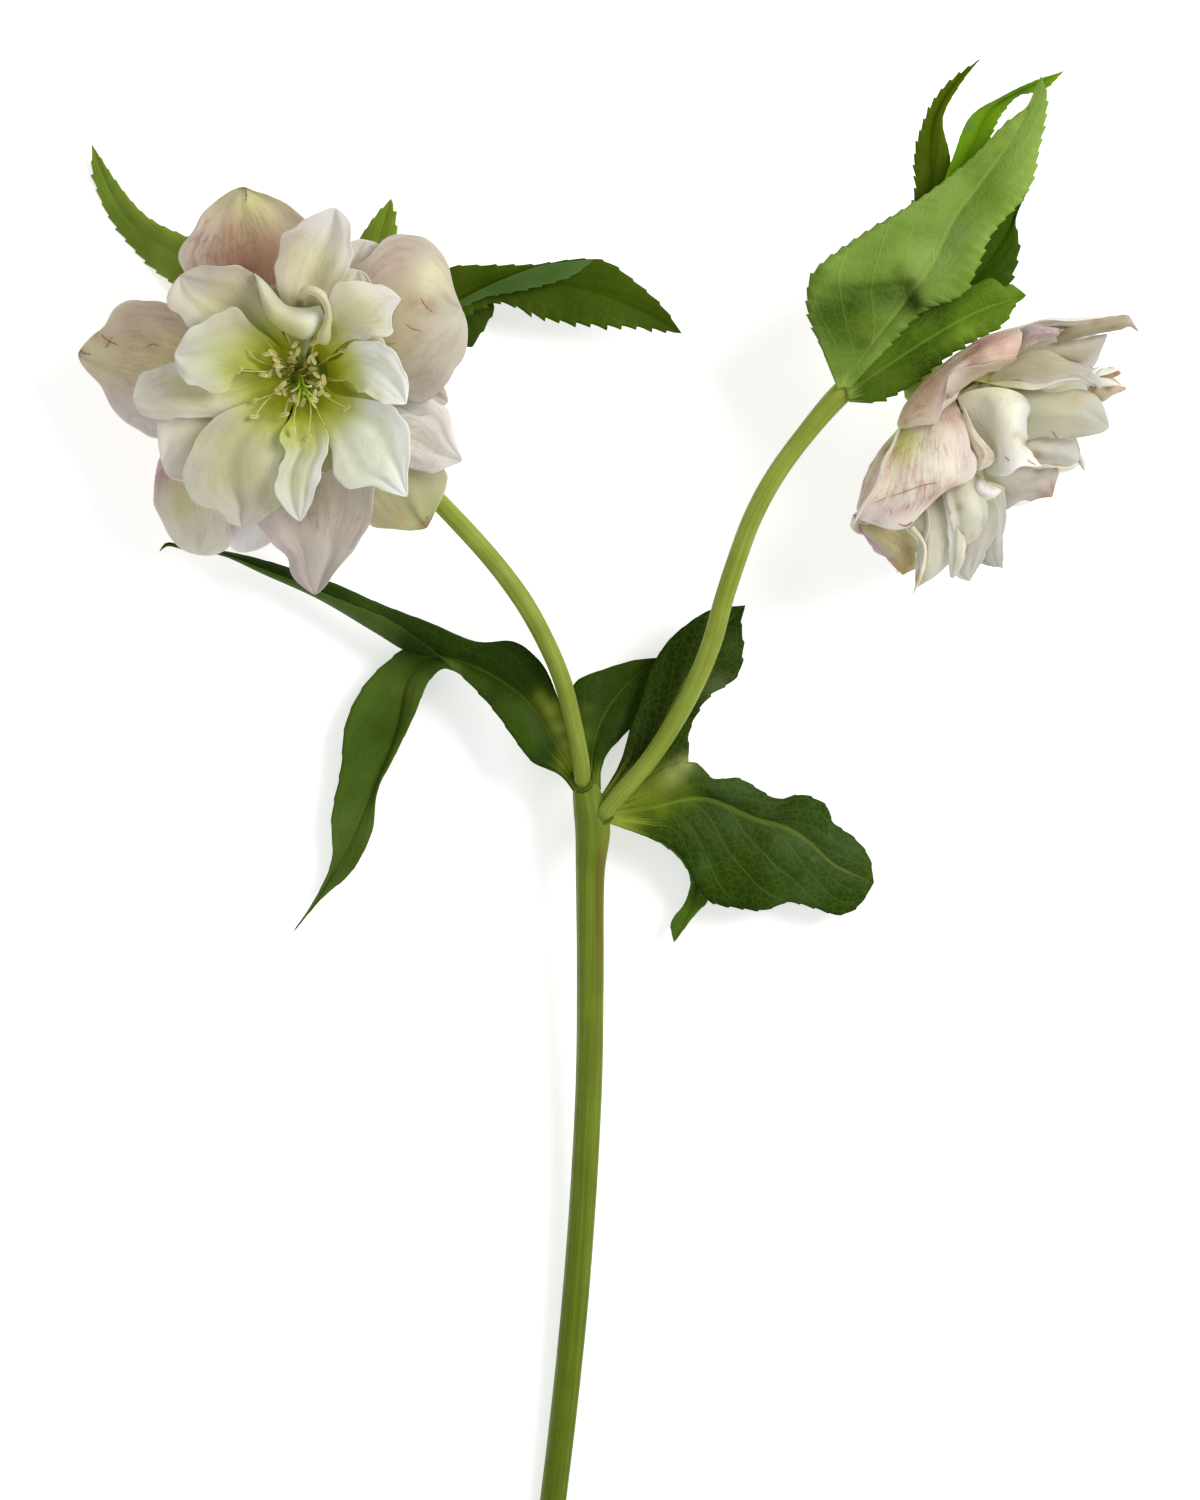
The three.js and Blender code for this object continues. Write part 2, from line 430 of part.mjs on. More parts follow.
// A lobe with a belly has a point more in each half, lifted from the straight line.
function lobe({ left, rib, right, teeth, belly = 0 }, thickness) {
  const rowCount = 2 * teeth;
  const [leftLine, ribLine, rightLine] = [left, rib, right].map((points) => (
    new THREE.CatmullRomCurve3(points.map(vector), false, 'centripetal').getSpacedPoints(rowCount)));
  const tooth = (edge, i) => {
    const point = edge[i].clone();
    if (i === 0 || i >= rowCount - 1 || i % 2 === 0) return point;
    const outward = point.clone().sub(ribLine[i]).normalize();
    const forward = edge[i + 1].clone().sub(point);
    return point.addScaledVector(outward, TOOTH_DEPTH).addScaledVector(forward, TOOTH_LEAN);
  };
  const rows = ribLine.map((ribPoint, i) => {
    const atTip = i === rowCount;
    const leftEdge = atTip ? ribPoint.clone() : tooth(leftLine, i);
    const rightEdge = atTip ? ribPoint.clone() : tooth(rightLine, i);
    if (!belly) return [leftEdge, ribPoint.clone(), rightEdge];
    const rise = belly * Math.sin(Math.PI * i / rowCount);
    const middle = (edge) => edge.clone().lerp(ribPoint, 0.5).add(new THREE.Vector3(0, 0, rise));
    return [leftEdge, middle(leftEdge), ribPoint.clone(), middle(rightEdge), rightEdge];
  });
  return blade(rows, thickness);
}

// ---- blooms ----

function bloomFrame({ at, axis, azimuthZero }) {
  const z = vector(axis).normalize();
  const x = vector(azimuthZero).addScaledVector(z, -vector(azimuthZero).dot(z)).normalize();
  const y = z.clone().cross(x);
  return new THREE.Matrix4().makeBasis(x, y, z).setPosition(...at);
}

const BELLY = 0.62; // where a petal is widest, as a share of its length
const CLAW = 1.9; // half width of a petal's foot
const TIP_CROWDING = 1.5; // rows of points stand closer towards the tip
const FRILL_WAVES = 2.2;

function halfWidth(u, width, point) {
  const swell = u < BELLY
    ? Math.sin(Math.PI / 2 * u / BELLY) ** 0.9
    : Math.cos(Math.PI / 2 * (u - BELLY) / (1 - BELLY)) ** point;
  return width / 2 * swell + CLAW * (1 - u) ** 2;
}

// The grid of a petal or sepal in the bloom's own frame.
function petalGrid(petal, foot, cells) {
  const { azimuth, reach, height, width, rise, end, cup, point, frill = 0.9, twist = 0, sway = 0 } = petal;
  const start = new THREE.Vector2(foot.radius, foot.height);
  const tip = new THREE.Vector2(reach, height);
  const arm = 0.38 * start.distanceTo(tip);
  const heading = (elevation) => new THREE.Vector2(
    Math.cos(radians(elevation)), Math.sin(radians(elevation)));
  const rib = new THREE.CubicBezierCurve(
    start,
    start.clone().addScaledVector(heading(rise), arm),
    tip.clone().addScaledVector(heading(end), -arm),
    tip,
  );
  const bow = radians(cup);
  return Array.from({ length: cells.along + 1 }, (_, i) => {
    const u = 1 - (1 - i / cells.along) ** TIP_CROWDING;
    const [centre, direction] = [rib.getPointAt(u), rib.getTangentAt(u)];
    const roll = radians(twist * u);
    const turn = new THREE.Matrix4().makeRotationZ(radians(azimuth + sway * u * u));
    const half = i === cells.along ? 0 : halfWidth(u, width, point);
    const frillHere = frill * THREE.MathUtils.smoothstep(u, 0.2, 0.6) * Math.min(1, half / 3);
    return Array.from({ length: cells.across + 1 }, (_, j) => {
      const v = 2 * j / cells.across - 1;
      const wave = Math.sin(2 * Math.PI * FRILL_WAVES * u + azimuth + (v > 0 ? 2.1 : 0));
      const side = half * Math.sin(v * bow) / bow;
      const up = half * (1 - Math.cos(v * bow)) / bow + frillHere * v * v * wave;
      const across = side * Math.cos(roll) - up * Math.sin(roll);
      const out = side * Math.sin(roll) + up * Math.cos(roll);
      return new THREE.Vector3(centre.x - out * direction.y, across, centre.y + out * direction.x)
        .applyMatrix4(turn);
    });
  });
}

function petalSolids(rowsOfValues, feet, cells, frame, thickness) {
  return rowsOfValues.map((values, i) => {
    const grid = petalGrid(values, feet[i % feet.length], cells);
    return blade(grid.map((row) => row.map((point) => point.applyMatrix4(frame))), thickness);
  });
}

// A turned button on the bloom's axis through [radius, height] pairs that start and end on the axis.
function turned(profile, sides, frame) {
  const geometry = new THREE.LatheGeometry(profile.map(([r, h]) => new THREE.Vector2(r, h)), sides);
  return fromGeometry(geometry.rotateX(Math.PI / 2).applyMatrix4(frame));
}

const RECEPTACLE = [[0, -4.4], [2.4, -4.2], [5.2, -1.2], [5.4, 1.2], [0, 1.6]];
const PETAL_RING = [[0, 2.4], [4.8, 2.2], [5.2, 3.2], [4.6, 4.4], [0, 4.6]];
const STAMEN_DISC = [[0, 5.0], [3.4, 5.0], [3.6, 6.0], [0, 6.2]];
const CARPEL_BASE = [[0, 6.6], [1.5, 6.6], [1.3, 7.8], [0, 8.0]];
const SEPAL_FEET = [{ radius: 4.0, height: 0.2 }, { radius: 4.0, height: 0.9 }];
const PETAL_FEET = [{ radius: 4.0, height: 2.9 }, { radius: 3.6, height: 3.7 }];

// Stamens stand in a golden-angle spiral, the outer ones leaning out further.
const GOLDEN_ANGLE = radians(137.508);
const STAMEN_FOOT = { inner: 1.6, outer: 3.1, height: 5.5 };
const INNER_STAMEN_REACH = 3.2;
const FILAMENT_RADIUS = 0.36;
const ANTHER_RADIUS = 0.8;
const STAMEN_SIDES = 3;

const CARPEL_COUNT = 5;
const FIRST_CARPEL = 0.4; // radians round the axis
const CARPEL_SIDES = 4;
// One carpel and its style: distance from the axis, height along it, and radius.
const CARPEL = [[0.6, 7.0, 0.7], [1.0, 9.2, 0.85], [1.4, 12.0, 0.45], [1.9, 14.2, 0.4], [3.0, 15.4, 0.35]];

// Small repeatable random numbers in 0..1.
function randomFrom(seed) {
  let state = seed;
  return () => {
    state = (state * 1103515245 + 12345) % 2147483648;
    return state / 2147483648;
  };
}

// A bar's stations in the plane that stands at an angle round the axis of a bloom.
function stationsAt(angle, profile, frame) {
  return profile.map(([radius, level, size]) => {
    const centre = new THREE.Vector3(radius * Math.cos(angle), radius * Math.sin(angle), level);
    return [...centre.applyMatrix4(frame), size];
  });
}

function stamens({ count, seed, reach, height }, frame, keepClear) {
  const random = randomFrom(seed);
  const kept = [];
  for (let i = 0; i < count; i++) {
    const share = (i + 0.5) / count;
    const foot = THREE.MathUtils.lerp(STAMEN_FOOT.inner, STAMEN_FOOT.outer, share);
    const lean = (reach - INNER_STAMEN_REACH) * share * (0.85 + 0.3 * random());
    const out = INNER_STAMEN_REACH + lean;
    const top = height * (0.86 + 0.2 * random());
    const bend = [
      THREE.MathUtils.lerp(foot, out, 0.3),
      THREE.MathUtils.lerp(STAMEN_FOOT.height, top, 0.6),
    ];
    const stamen = bar(stationsAt(i * GOLDEN_ANGLE, [
      [foot, STAMEN_FOOT.height, 0.42],
      [...bend, FILAMENT_RADIUS],
      [out - 0.5, top - 0.9, FILAMENT_RADIUS],
      [out, top, ANTHER_RADIUS],
      [out + 0.5, top + 1.0, FILAMENT_RADIUS],
    ], frame), STAMEN_SIDES, 4);
    if (stamen.intersect(keepClear).volume() === 0) kept.push(stamen);
  }
  return union([turned(STAMEN_DISC, 10, frame), ...kept]);
}

function carpels(frame) {
  const styles = Array.from({ length: CARPEL_COUNT }, (_, i) => {
    const angle = FIRST_CARPEL + 2 * Math.PI * i / CARPEL_COUNT;
    return bar(stationsAt(angle, CARPEL, frame), CARPEL_SIDES, CARPEL.length - 1);
  });
  return union([turned(CARPEL_BASE, 8, frame), ...styles]);
}

// ---- materials ----

const finish = (color, roughness) => new THREE.MeshStandardMaterial({ color, roughness, metalness: 0 });
const STEM_GREEN = finish(0x86a540, 0.55);
const BRACT_DARK = finish(0x3b6524, 0.5);
const BRACT_LIGHT = finish(0x6f9c38, 0.5);
const SEPAL_ROSE = finish(0xd6c6bc, 0.6);
const PETAL_WHITE = finish(0xe8e6da, 0.6);
const ANTHER_YELLOW = finish(0xd9d08a, 0.7);
const STYLE_GREEN = finish(0xa9c04a, 0.55);

// ---- the flower ----

const flower = new THREE.Group();
flower.position.set(...PLAN_ORIGIN);

// What would lie below the surface is cut off, which leaves the small flat spots it rests on.
const belowSurface = fromGeometry(new THREE.BoxGeometry(500, 500, 20).translate(0, 0, -10));

function addPiece(name, manifold, material) {
  const body = wholeBody(manifold.subtract(belowSurface));
  const mesh = body.getMesh();
  const geometry = new THREE.BufferGeometry();
  geometry.setAttribute('position', new THREE.BufferAttribute(Float32Array.from(mesh.vertProperties), 3));
  geometry.setIndex(new THREE.BufferAttribute(Uint32Array.from(mesh.triVerts), 1));
  const piece = new THREE.Mesh(geometry, material);
  piece.name = name;
  flower.add(piece);
}

const widened = (stations, by) => stations.map(([x, y, z, radius]) => [x, y, z, radius + by]);
const stemSolid = (by) => union([
  bar(widened(MAIN_STEM, by), STEM_SIDES, 10),
  bar(widened(LEFT_STALK, by), STEM_SIDES, 17),
  bar(widened(RIGHT_STALK, by), STEM_SIDES, 16),
]);

addPiece('stem', stemSolid(0), STEM_GREEN);
const aroundStem = stemSolid(GAP);

// Adds the leaves of one whorl, each kept clear of the stem, of the bloom and of those before it.
function addWhorl(leaves, neighbours) {
  const keepClear = [...neighbours];
  leaves.forEach(({ name, lobes, material }) => {
    const whole = (thickness) => union(lobes.map((one) => lobe(one, thickness)));
    const leaf = keepClear.reduce((rest, other) => rest.subtract(other), whole(LEAF_THICKNESS));
    addPiece(name, leaf, material);
    keepClear.push(whole(LEAF_THICKNESS + 2 * GAP));
  });
}

function addBloom(bloom, material) {
  const frame = bloomFrame(bloom);
  const sepalsAt = (extra) => union([
    turned(RECEPTACLE, 12, frame),
    ...petalSolids(bloom.sepals, SEPAL_FEET, SEPAL_CELLS, frame, PETAL_THICKNESS + extra),
  ]);
  const petalsAt = (extra) => union([
    turned(PETAL_RING, 12, frame),
    ...petalSolids(bloom.petals, PETAL_FEET, PETAL_CELLS, frame, PETAL_THICKNESS + extra),
  ]);
  const sepals = sepalsAt(0).subtract(aroundStem);
  const roundSepals = sepalsAt(2 * GAP);
  const petals = petalsAt(0).subtract(roundSepals);
  const roundPetals = petalsAt(2 * GAP);
  addPiece(`${bloom.name}_sepals`, sepals, material);
  addPiece(`${bloom.name}_petals`, petals, PETAL_WHITE);
  addPiece(`${bloom.name}_stamens`, stamens(bloom.stamens, frame, roundPetals), ANTHER_YELLOW);
  addPiece(`${bloom.name}_carpels`, carpels(frame), STYLE_GREEN);
  return roundSepals;
}

const aroundLeftSepals = addBloom(LEFT_BLOOM, SEPAL_ROSE);
const aroundRightSepals = addBloom(RIGHT_BLOOM, SEPAL_ROSE);

addWhorl([
  { name: 'fork_bract_left', lobes: FORK_BRACT_LEFT, material: BRACT_DARK },
  { name: 'fork_bract_right', lobes: FORK_BRACT_RIGHT, material: BRACT_DARK },
  { name: 'fork_bract_back', lobes: FORK_BRACT_BACK, material: BRACT_DARK },
], [aroundStem]);
addWhorl(LEFT_BLOOM_BRACTS.map((lobes, i) => (
  { name: `left_bloom_bract_${i + 1}`, lobes, material: BRACT_DARK }
)), [aroundStem, aroundLeftSepals]);
addWhorl(RIGHT_BLOOM_BRACTS.map((lobes, i) => (
  { name: `right_bloom_bract_${i + 1}`, lobes, material: i === 0 ? BRACT_LIGHT : BRACT_DARK }
)), [aroundStem, aroundRightSepals]);

export default flower;
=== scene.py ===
"""A hellebore stem cut from the garden: two double blooms and their toothed bracts."""

import math
import random

import bpy
import numpy as np
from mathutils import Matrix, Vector


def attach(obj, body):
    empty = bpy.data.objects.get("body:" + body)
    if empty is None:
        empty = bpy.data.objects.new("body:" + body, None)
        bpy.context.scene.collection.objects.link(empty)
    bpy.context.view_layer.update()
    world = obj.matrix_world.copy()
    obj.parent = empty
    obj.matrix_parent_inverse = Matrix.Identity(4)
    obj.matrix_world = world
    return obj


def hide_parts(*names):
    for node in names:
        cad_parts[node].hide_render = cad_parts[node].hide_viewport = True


bl_info = {
    "name": "Cut hellebore",
    "version": (1, 0, 0),
    "blender": (4, 5, 0),
    "location": "3D View > Sidebar > Hellebore",
    "description": "Grows the blooms, bracts and stem of a cut double hellebore",
    "category": "Add Mesh",
}

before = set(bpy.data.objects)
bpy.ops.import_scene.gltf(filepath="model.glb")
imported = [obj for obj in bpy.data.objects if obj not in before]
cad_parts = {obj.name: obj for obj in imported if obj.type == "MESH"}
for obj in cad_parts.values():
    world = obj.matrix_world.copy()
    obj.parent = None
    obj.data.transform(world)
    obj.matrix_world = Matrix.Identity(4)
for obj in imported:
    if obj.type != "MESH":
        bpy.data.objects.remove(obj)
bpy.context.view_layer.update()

# Every table below is in millimetres on a plan whose origin is the fork of the stem.
PLAN_ORIGIN = (-0.2, 3.3, 0.0)
MILLIMETRE = 0.001

# The stage, in metres.
CAMERA_SPOT = (-0.0002, 0.0133, 5.02)
LIGHTS_AIM = (0, 0, 0.02)

# ---- the stem: centre of each section, and its radius ----

MAIN_STEM = [
    (-11.4, -154.4, 2.55, 2.6), (-9.3, -140, 3.2, 2.6), (-4.9, -100, 5.2, 2.65), (-2.3, -60, 8, 2.65),
    (-1.9, -36, 10.2, 2.7), (-1.9, -14.4, 12.3, 2.9), (-1.4, -5.6, 13.3, 3.5), (-2.1, -1, 13.2, 3.2),
    (-2.9, 2.6, 13, 2.4), (-3, 4.4, 13, 1),
]
# The seams where the stalks leave the top of the stem, coloured dark green as painted shadow under each
# stalk's foot.
SHADED_COLLARS = [
    [(-5.8, 5.4, 13, 0.3), (-5.4, 3.6, 14.4, 0.5), (-4.6, 2.4, 15.2, 0.55), (-3.4, 1.9, 15.6, 0.55),
     (-2.2, 2.6, 15.4, 0.55), (-1.6, 4, 14.6, 0.5), (-1.4, 5.6, 13, 0.3)],
    [(-1.6, -1.4, 15.2, 0.3), (-1.4, -2.9, 15.9, 0.45), (-0.9, -4, 16, 0.5), (0.2, -4.7, 15.8, 0.5),
     (1.4, -4.3, 15.4, 0.45), (2.6, -3.4, 14.6, 0.3)],
]
LEFT_STALK = [
    (-3.4, 2.2, 14.2, 0.4), (-3.5, 2.7, 14.5, 1.1), (-3.55, 3.6, 14.9, 1.55), (-3.7, 7, 15.4, 1.65),
    (-4.8, 13, 15.6, 1.7), (-7.6, 24, 16, 1.8), (-11, 32, 16.8, 1.85), (-15.5, 40, 17.4, 1.95),
    (-21.5, 48, 17.6, 1.9), (-28.7, 56, 17.2, 1.9), (-36, 63.5, 15.6, 1.85), (-43.5, 71, 13.4, 1.8),
    (-51.5, 79, 11.6, 1.8), (-56.2, 84.4, 13.4, 1.9), (-57.6, 85.8, 17, 2.2),
]
RIGHT_STALK = [
    (-0.3, -3.9, 14.8, 0.4), (0, -3.5, 15.1, 1.2), (0.7, -2.7, 15.6, 1.6), (3.2, 0.2, 16.1, 1.75),
    (10.6, 9, 17.4, 1.8), (17.9, 21, 19.6, 1.85), (22.2, 31, 21.6, 1.95), (24.7, 40, 23.2, 1.9),
    (27.3, 48, 24.8, 1.9), (30.3, 56, 26.4, 1.9), (34.5, 64, 28.2, 1.9), (40.2, 72, 29.6, 1.9),
    (49, 82, 31.4, 2.2), (56, 86.8, 31.2, 2.1), (61.2, 86.4, 30, 2.4),
]

# ---- the leaves: each lobe is three lines from base to tip, one edge, the rib, the other edge ----

# belly is how far the blade swells, and body its colour. under gives a side (-1 or 1), the share of the
# length from which the under side shows there, and its colour. teeth are the depths of the teeth on the
# two edges, and pitch is their length. A crease has its two ends on the plan, its width and its height.
FORK_BRACT_LEFT = [
    {"belly": 0.8, "body": "213601", "under": (-1, 0.5, "4f6a28"), "teeth": (0.25, 0.1), "pitch": 4.2,
     "lines": [
        [(-4.6, 0.6, 13), (-7.9, 4.8, 13.2), (-13.5, 7.6, 13.8), (-16.4, 11.2, 13.8), (-21.4, 18.2, 13.2),
         (-26.6, 23.8, 12.8), (-34, 30.2, 13.4), (-42.4, 36, 12.4), (-53.6, 40.6, 10.6), (-67.6, 46.2, 7.6),
         (-77, 49.4, 6.2), (-84, 50.4, 5.2), (-86.8, 50.9, 5), (-88.3, 49.9, 4.8)],
        [(-3.6, 1.6, 13), (-8.2, 10, 12.6), (-15.2, 20.4, 11.6), (-28.2, 27.8, 10.2), (-38, 29.6, 9.6),
         (-45, 33.6, 9), (-56.2, 40.2, 7.8), (-67.6, 45.4, 6.6), (-77, 49.6, 5.6), (-84, 50.7, 5),
         (-86.9, 51.2, 4.9), (-88.3, 49.9, 4.8)],
        [(-3.4, 3.4, 13), (-5.5, 12, 12.8), (-7.2, 17, 13), (-9.2, 22.4, 13.2), (-11.4, 27, 13),
         (-17, 31.6, 11.8), (-24.5, 31.6, 10.4), (-34, 35.4, 8.6), (-44, 39.2, 7), (-54, 43.6, 5.8),
         (-71, 48.9, 4.8), (-84, 51, 4.8), (-87, 51.5, 4.8), (-88.3, 49.9, 4.8)],
    ]},
    {"body": "48601c", "teeth": (0.15, 0.25), "pitch": 4.2, "lines": [
        [(-4.6, 1, 13), (-9.6, 7.4, 12.6), (-21, 19.6, 9.4), (-31, 26.4, 7.4), (-34.2, 24, 7.2),
         (-37, 17.5, 7.2), (-41.3, 8.5, 6.6), (-44.6, 2, 6), (-45.7, -6.3, 5), (-49.8, -14.3, 3.8),
         (-55.6, -19.6, 3.2), (-61.4, -26.3, 2.8)],
        [(-4, 2, 13), (-9.2, 9.4, 12.2), (-21, 21.8, 8.8), (-33.6, 28.6, 6.8), (-38.4, 24.8, 5.6),
         (-40.6, 14.8, 5), (-43.6, 6.4, 4.6), (-48, -3.6, 4), (-51, -10, 3.4), (-57.2, -20.6, 2.8),
         (-61.4, -26.3, 2.8)],
        [(-3.6, 3, 13), (-8.8, 11.4, 12.6), (-22, 24.4, 8.8), (-36, 31.2, 6.6), (-43, 27.4, 6.2),
         (-48, 21.8, 6.4), (-51.1, 14.8, 6.4), (-51.9, 6.4, 6), (-53.8, -3.6, 5.4), (-53.8, -12.2, 4.6),
         (-57.4, -20.4, 3.4), (-61.4, -26.3, 2.8)],
    ]},
]
FORK_BRACT_BACK = [
    {"body": "2a4001", "teeth": (0.1, 0.1), "pitch": 4, "lines": [
        [(-3, 2, 11.8), (-5, 11, 11.4), (-6.6, 19.6, 10.6), (-4.6, 23.8, 10), (0.9, 26.2, 9), (7, 28, 8),
         (11.6, 28.5, 7)],
        [(-1.5, 2, 11.8), (-1.4, 10, 10.4), (0.6, 16.4, 9), (4, 21.6, 8), (7.5, 25.2, 7.4),
         (11.6, 28.5, 7)],
        [(0.2, 2, 11.8), (0.2, 6, 11), (1.5, 9.5, 9.8), (3.6, 11.8, 9.2), (6.6, 15.2, 8.2),
         (8.2, 18.2, 7.8), (10, 24.2, 7.2), (11.6, 28.5, 7)],
    ]},
]
FORK_BRACT_RIGHT = [
    {"body": "243801", "teeth": (0.1, 0.5), "pitch": 3.4, "lines": [
        [(-0.6, -0.4, 12.6), (3.9, 7.2, 12.6), (6.2, 14.6, 12.4), (8, 19.1, 12.2), (10.2, 26, 12),
         (13, 31, 12), (16.2, 34.2, 12.2), (22, 38, 12.6), (29.1, 39, 13)],
        [(0, -1.6, 12.6), (7.6, 6.6, 12), (13, 16, 11), (17.4, 24.4, 10.8), (22.6, 32.4, 11.4),
         (29.1, 39, 13)],
        [(1, -2.8, 12.6), (12, 1.6, 12.8), (17.4, 7.4, 12.6), (17.8, 13.6, 12.4), (21.4, 20.4, 12.2),
         (27.4, 24.8, 12.4), (28.6, 31, 12.8), (28.2, 35.6, 13), (29.1, 39, 13)],
    ]},
    {"belly": 1.4, "body": "2b4203", "teeth": (0.3, 0.35), "pitch": 3.2, "lines": [
        [(0, -2, 12.6), (8, 3.4, 12.8), (14.8, 7.2, 12.8), (19.4, 7.2, 12.4), (22.6, 4.2, 11.8),
         (27.7, 4.2, 11.6), (35.5, 0.1, 8.6), (40.5, 0.9, 9.8), (45.2, -1.2, 8.6), (46.7, -4.7, 7.2),
         (50.6, -7.4, 7.6), (53.8, -11.4, 6.6), (54.9, -16.6, 6)],
        [(0.2, -3, 12.6), (10.3, -1.6, 12.2), (17.2, 0.2, 11.4), (21.8, 0.4, 10.8), (30.9, -3.4, 9.8),
         (37.8, -5.6, 9), (42.4, -8.8, 8.6), (47, -13, 7.8), (54.9, -16.6, 6)],
        [(0.4, -4.2, 12.6), (10.3, -7.7, 12.8), (15.8, -10.2, 12.4), (18.4, -15.2, 11.2), (22, -20.2, 9.6),
         (28, -21.6, 8.6), (33, -22, 9.4), (38, -20.4, 7.8), (43, -21.6, 8.4), (48, -23, 7.4),
         (51.8, -21.2, 6.8), (54.9, -16.6, 6)],
    ]},
    {"body": "4d6a1c", "teeth": (0.3, 0.2), "pitch": 3, "lines": [
        [(0.8, -2, 12.4), (10, -4.4, 9.6), (18, -9.4, 7.6), (21.8, -16, 6.8), (21.7, -19.8, 6.4),
         (18.6, -23.4, 5.6), (14.8, -28.6, 5)],
        [(0.4, -3, 12.4), (9.4, -5.6, 9), (17, -11, 7), (19.6, -17, 6.2), (18, -22, 5.6), (14.8, -28.6, 5)],
        [(0, -4, 12.2), (8.8, -6.8, 9.2), (15.4, -11, 7.2), (18.2, -15.6, 6.6), (17.2, -20.4, 6.2),
         (14.3, -24.6, 5.6), (14.8, -28.6, 5)],
    ]},
]
LEFT_BRACT_1 = [
    {"body": "7a8f36", "teeth": (0.7, 0.35), "pitch": 3, "lines": [
        [(-52.6, 83, 11.2), (-66, 92.6, 8), (-78, 99.8, 4.6), (-85, 103.4, 2), (-92, 109.1, 0.2),
         (-98.7, 117.6, 0.1), (-101.7, 126, 1.2), (-101.9, 131.4, 2.4)],
        [(-52.8, 84.4, 11.2), (-65, 96.4, 8.6), (-77, 104.6, 6), (-85, 109.4, 3.8), (-92.6, 114.6, 2),
         (-97.8, 121.4, 1.2), (-101.9, 131.4, 2)],
        [(-53.2, 86.4, 11.2), (-65, 100.6, 8.8), (-75, 108.6, 6.8), (-82.4, 112.6, 5), (-90.7, 116.8, 3.4),
         (-96.7, 123.5, 2.2), (-101.9, 131.4, 2)],
    ]},
]
LEFT_BRACT_2 = [
    {"body": "70862a", "teeth": (0.4, 0.8), "pitch": 2.6, "lines": [
        [(-55.4, 85.2, 13.8), (-53.8, 98, 14), (-50, 109, 14.4), (-46, 115.4, 14.6), (-41.8, 120.4, 14.8)],
        [(-54.8, 84.9, 13.8), (-48.8, 99, 13.6), (-45.2, 109.6, 14), (-41.8, 120.4, 14.8)],
        [(-54.2, 84.4, 13.8), (-43.6, 98, 14), (-40.8, 108, 14.4), (-40.8, 113.6, 14.6),
         (-41.8, 120.4, 14.8)],
    ]},
]
LEFT_BRACT_3 = [
    {"body": "3f5304", "teeth": (0.4, 1.2), "pitch": 3.5, "lines": [
        [(-53.4, 83.6, 12.4), (-42, 98.6, 12), (-30.6, 106.4, 11.8), (-21, 107, 11.8), (-12.8, 107.2, 12.4),
         (-4.4, 108.3, 13), (1, 107.8, 13), (6.2, 104.4, 12.6), (12.4, 98.8, 11.6), (16.4, 93.5, 10.8)],
        [(-52.6, 82.6, 12.4), (-40, 93.6, 11.2), (-28.9, 99.8, 10.4), (-19.4, 103, 10.4),
         (-10, 103.4, 10.8), (0, 101.2, 11), (8, 98, 10.8), (16.4, 93.5, 10.8)],
        [(-51.8, 81.6, 12.4), (-38, 90.4, 11.6), (-28, 96.6, 11.2), (-20.9, 99.8, 11.2), (-9.8, 96.4, 11.6),
         (0.8, 95.2, 11.8), (8.1, 94.8, 11.4), (16.4, 93.5, 10.8)],
    ]},
    {"body": "33460a", "teeth": (1.1, 0.2), "pitch": 3.2, "lines": [
        [(-52.2, 82.8, 12.2), (-38, 94, 9.8), (-28.6, 99.4, 8.4), (-21.4, 99.6, 7.8), (-25.6, 90.8, 7.2)],
        [(-51.8, 82.2, 12.2), (-38, 91.4, 9.4), (-30, 95.4, 7.8), (-25.6, 90.8, 7.2)],
        [(-51.4, 81.6, 12.2), (-38, 89, 9.8), (-31, 91, 8.4), (-25.6, 90.8, 7.2)],
    ]},
    {"belly": 0.0, "body": "4f6a35", "teeth": (0.0, 0.4), "pitch": 3, "lines": [
        [(-34, 97, 12), (-30.5, 98.8, 12.8), (-21.5, 103.3, 13.4), (-16.3, 105.4, 13.6),
         (-12.1, 106.9, 13.6), (-3.8, 108, 13.6), (-1.2, 108.2, 13.4)],
        [(-34, 97, 12), (-30, 98.4, 13), (-22, 102, 13.8), (-17, 103.6, 14.2), (-10.8, 105.3, 14.2),
         (-4.6, 106.6, 13.9), (-1.2, 108.2, 13.4)],
        [(-34, 97, 12), (-29.6, 98, 12.8), (-22.6, 100.9, 13.6), (-17.9, 101.7, 14), (-9.5, 103.7, 14),
         (-5.6, 105.1, 13.8), (-1.2, 108.2, 13.4)],
    ]},
]
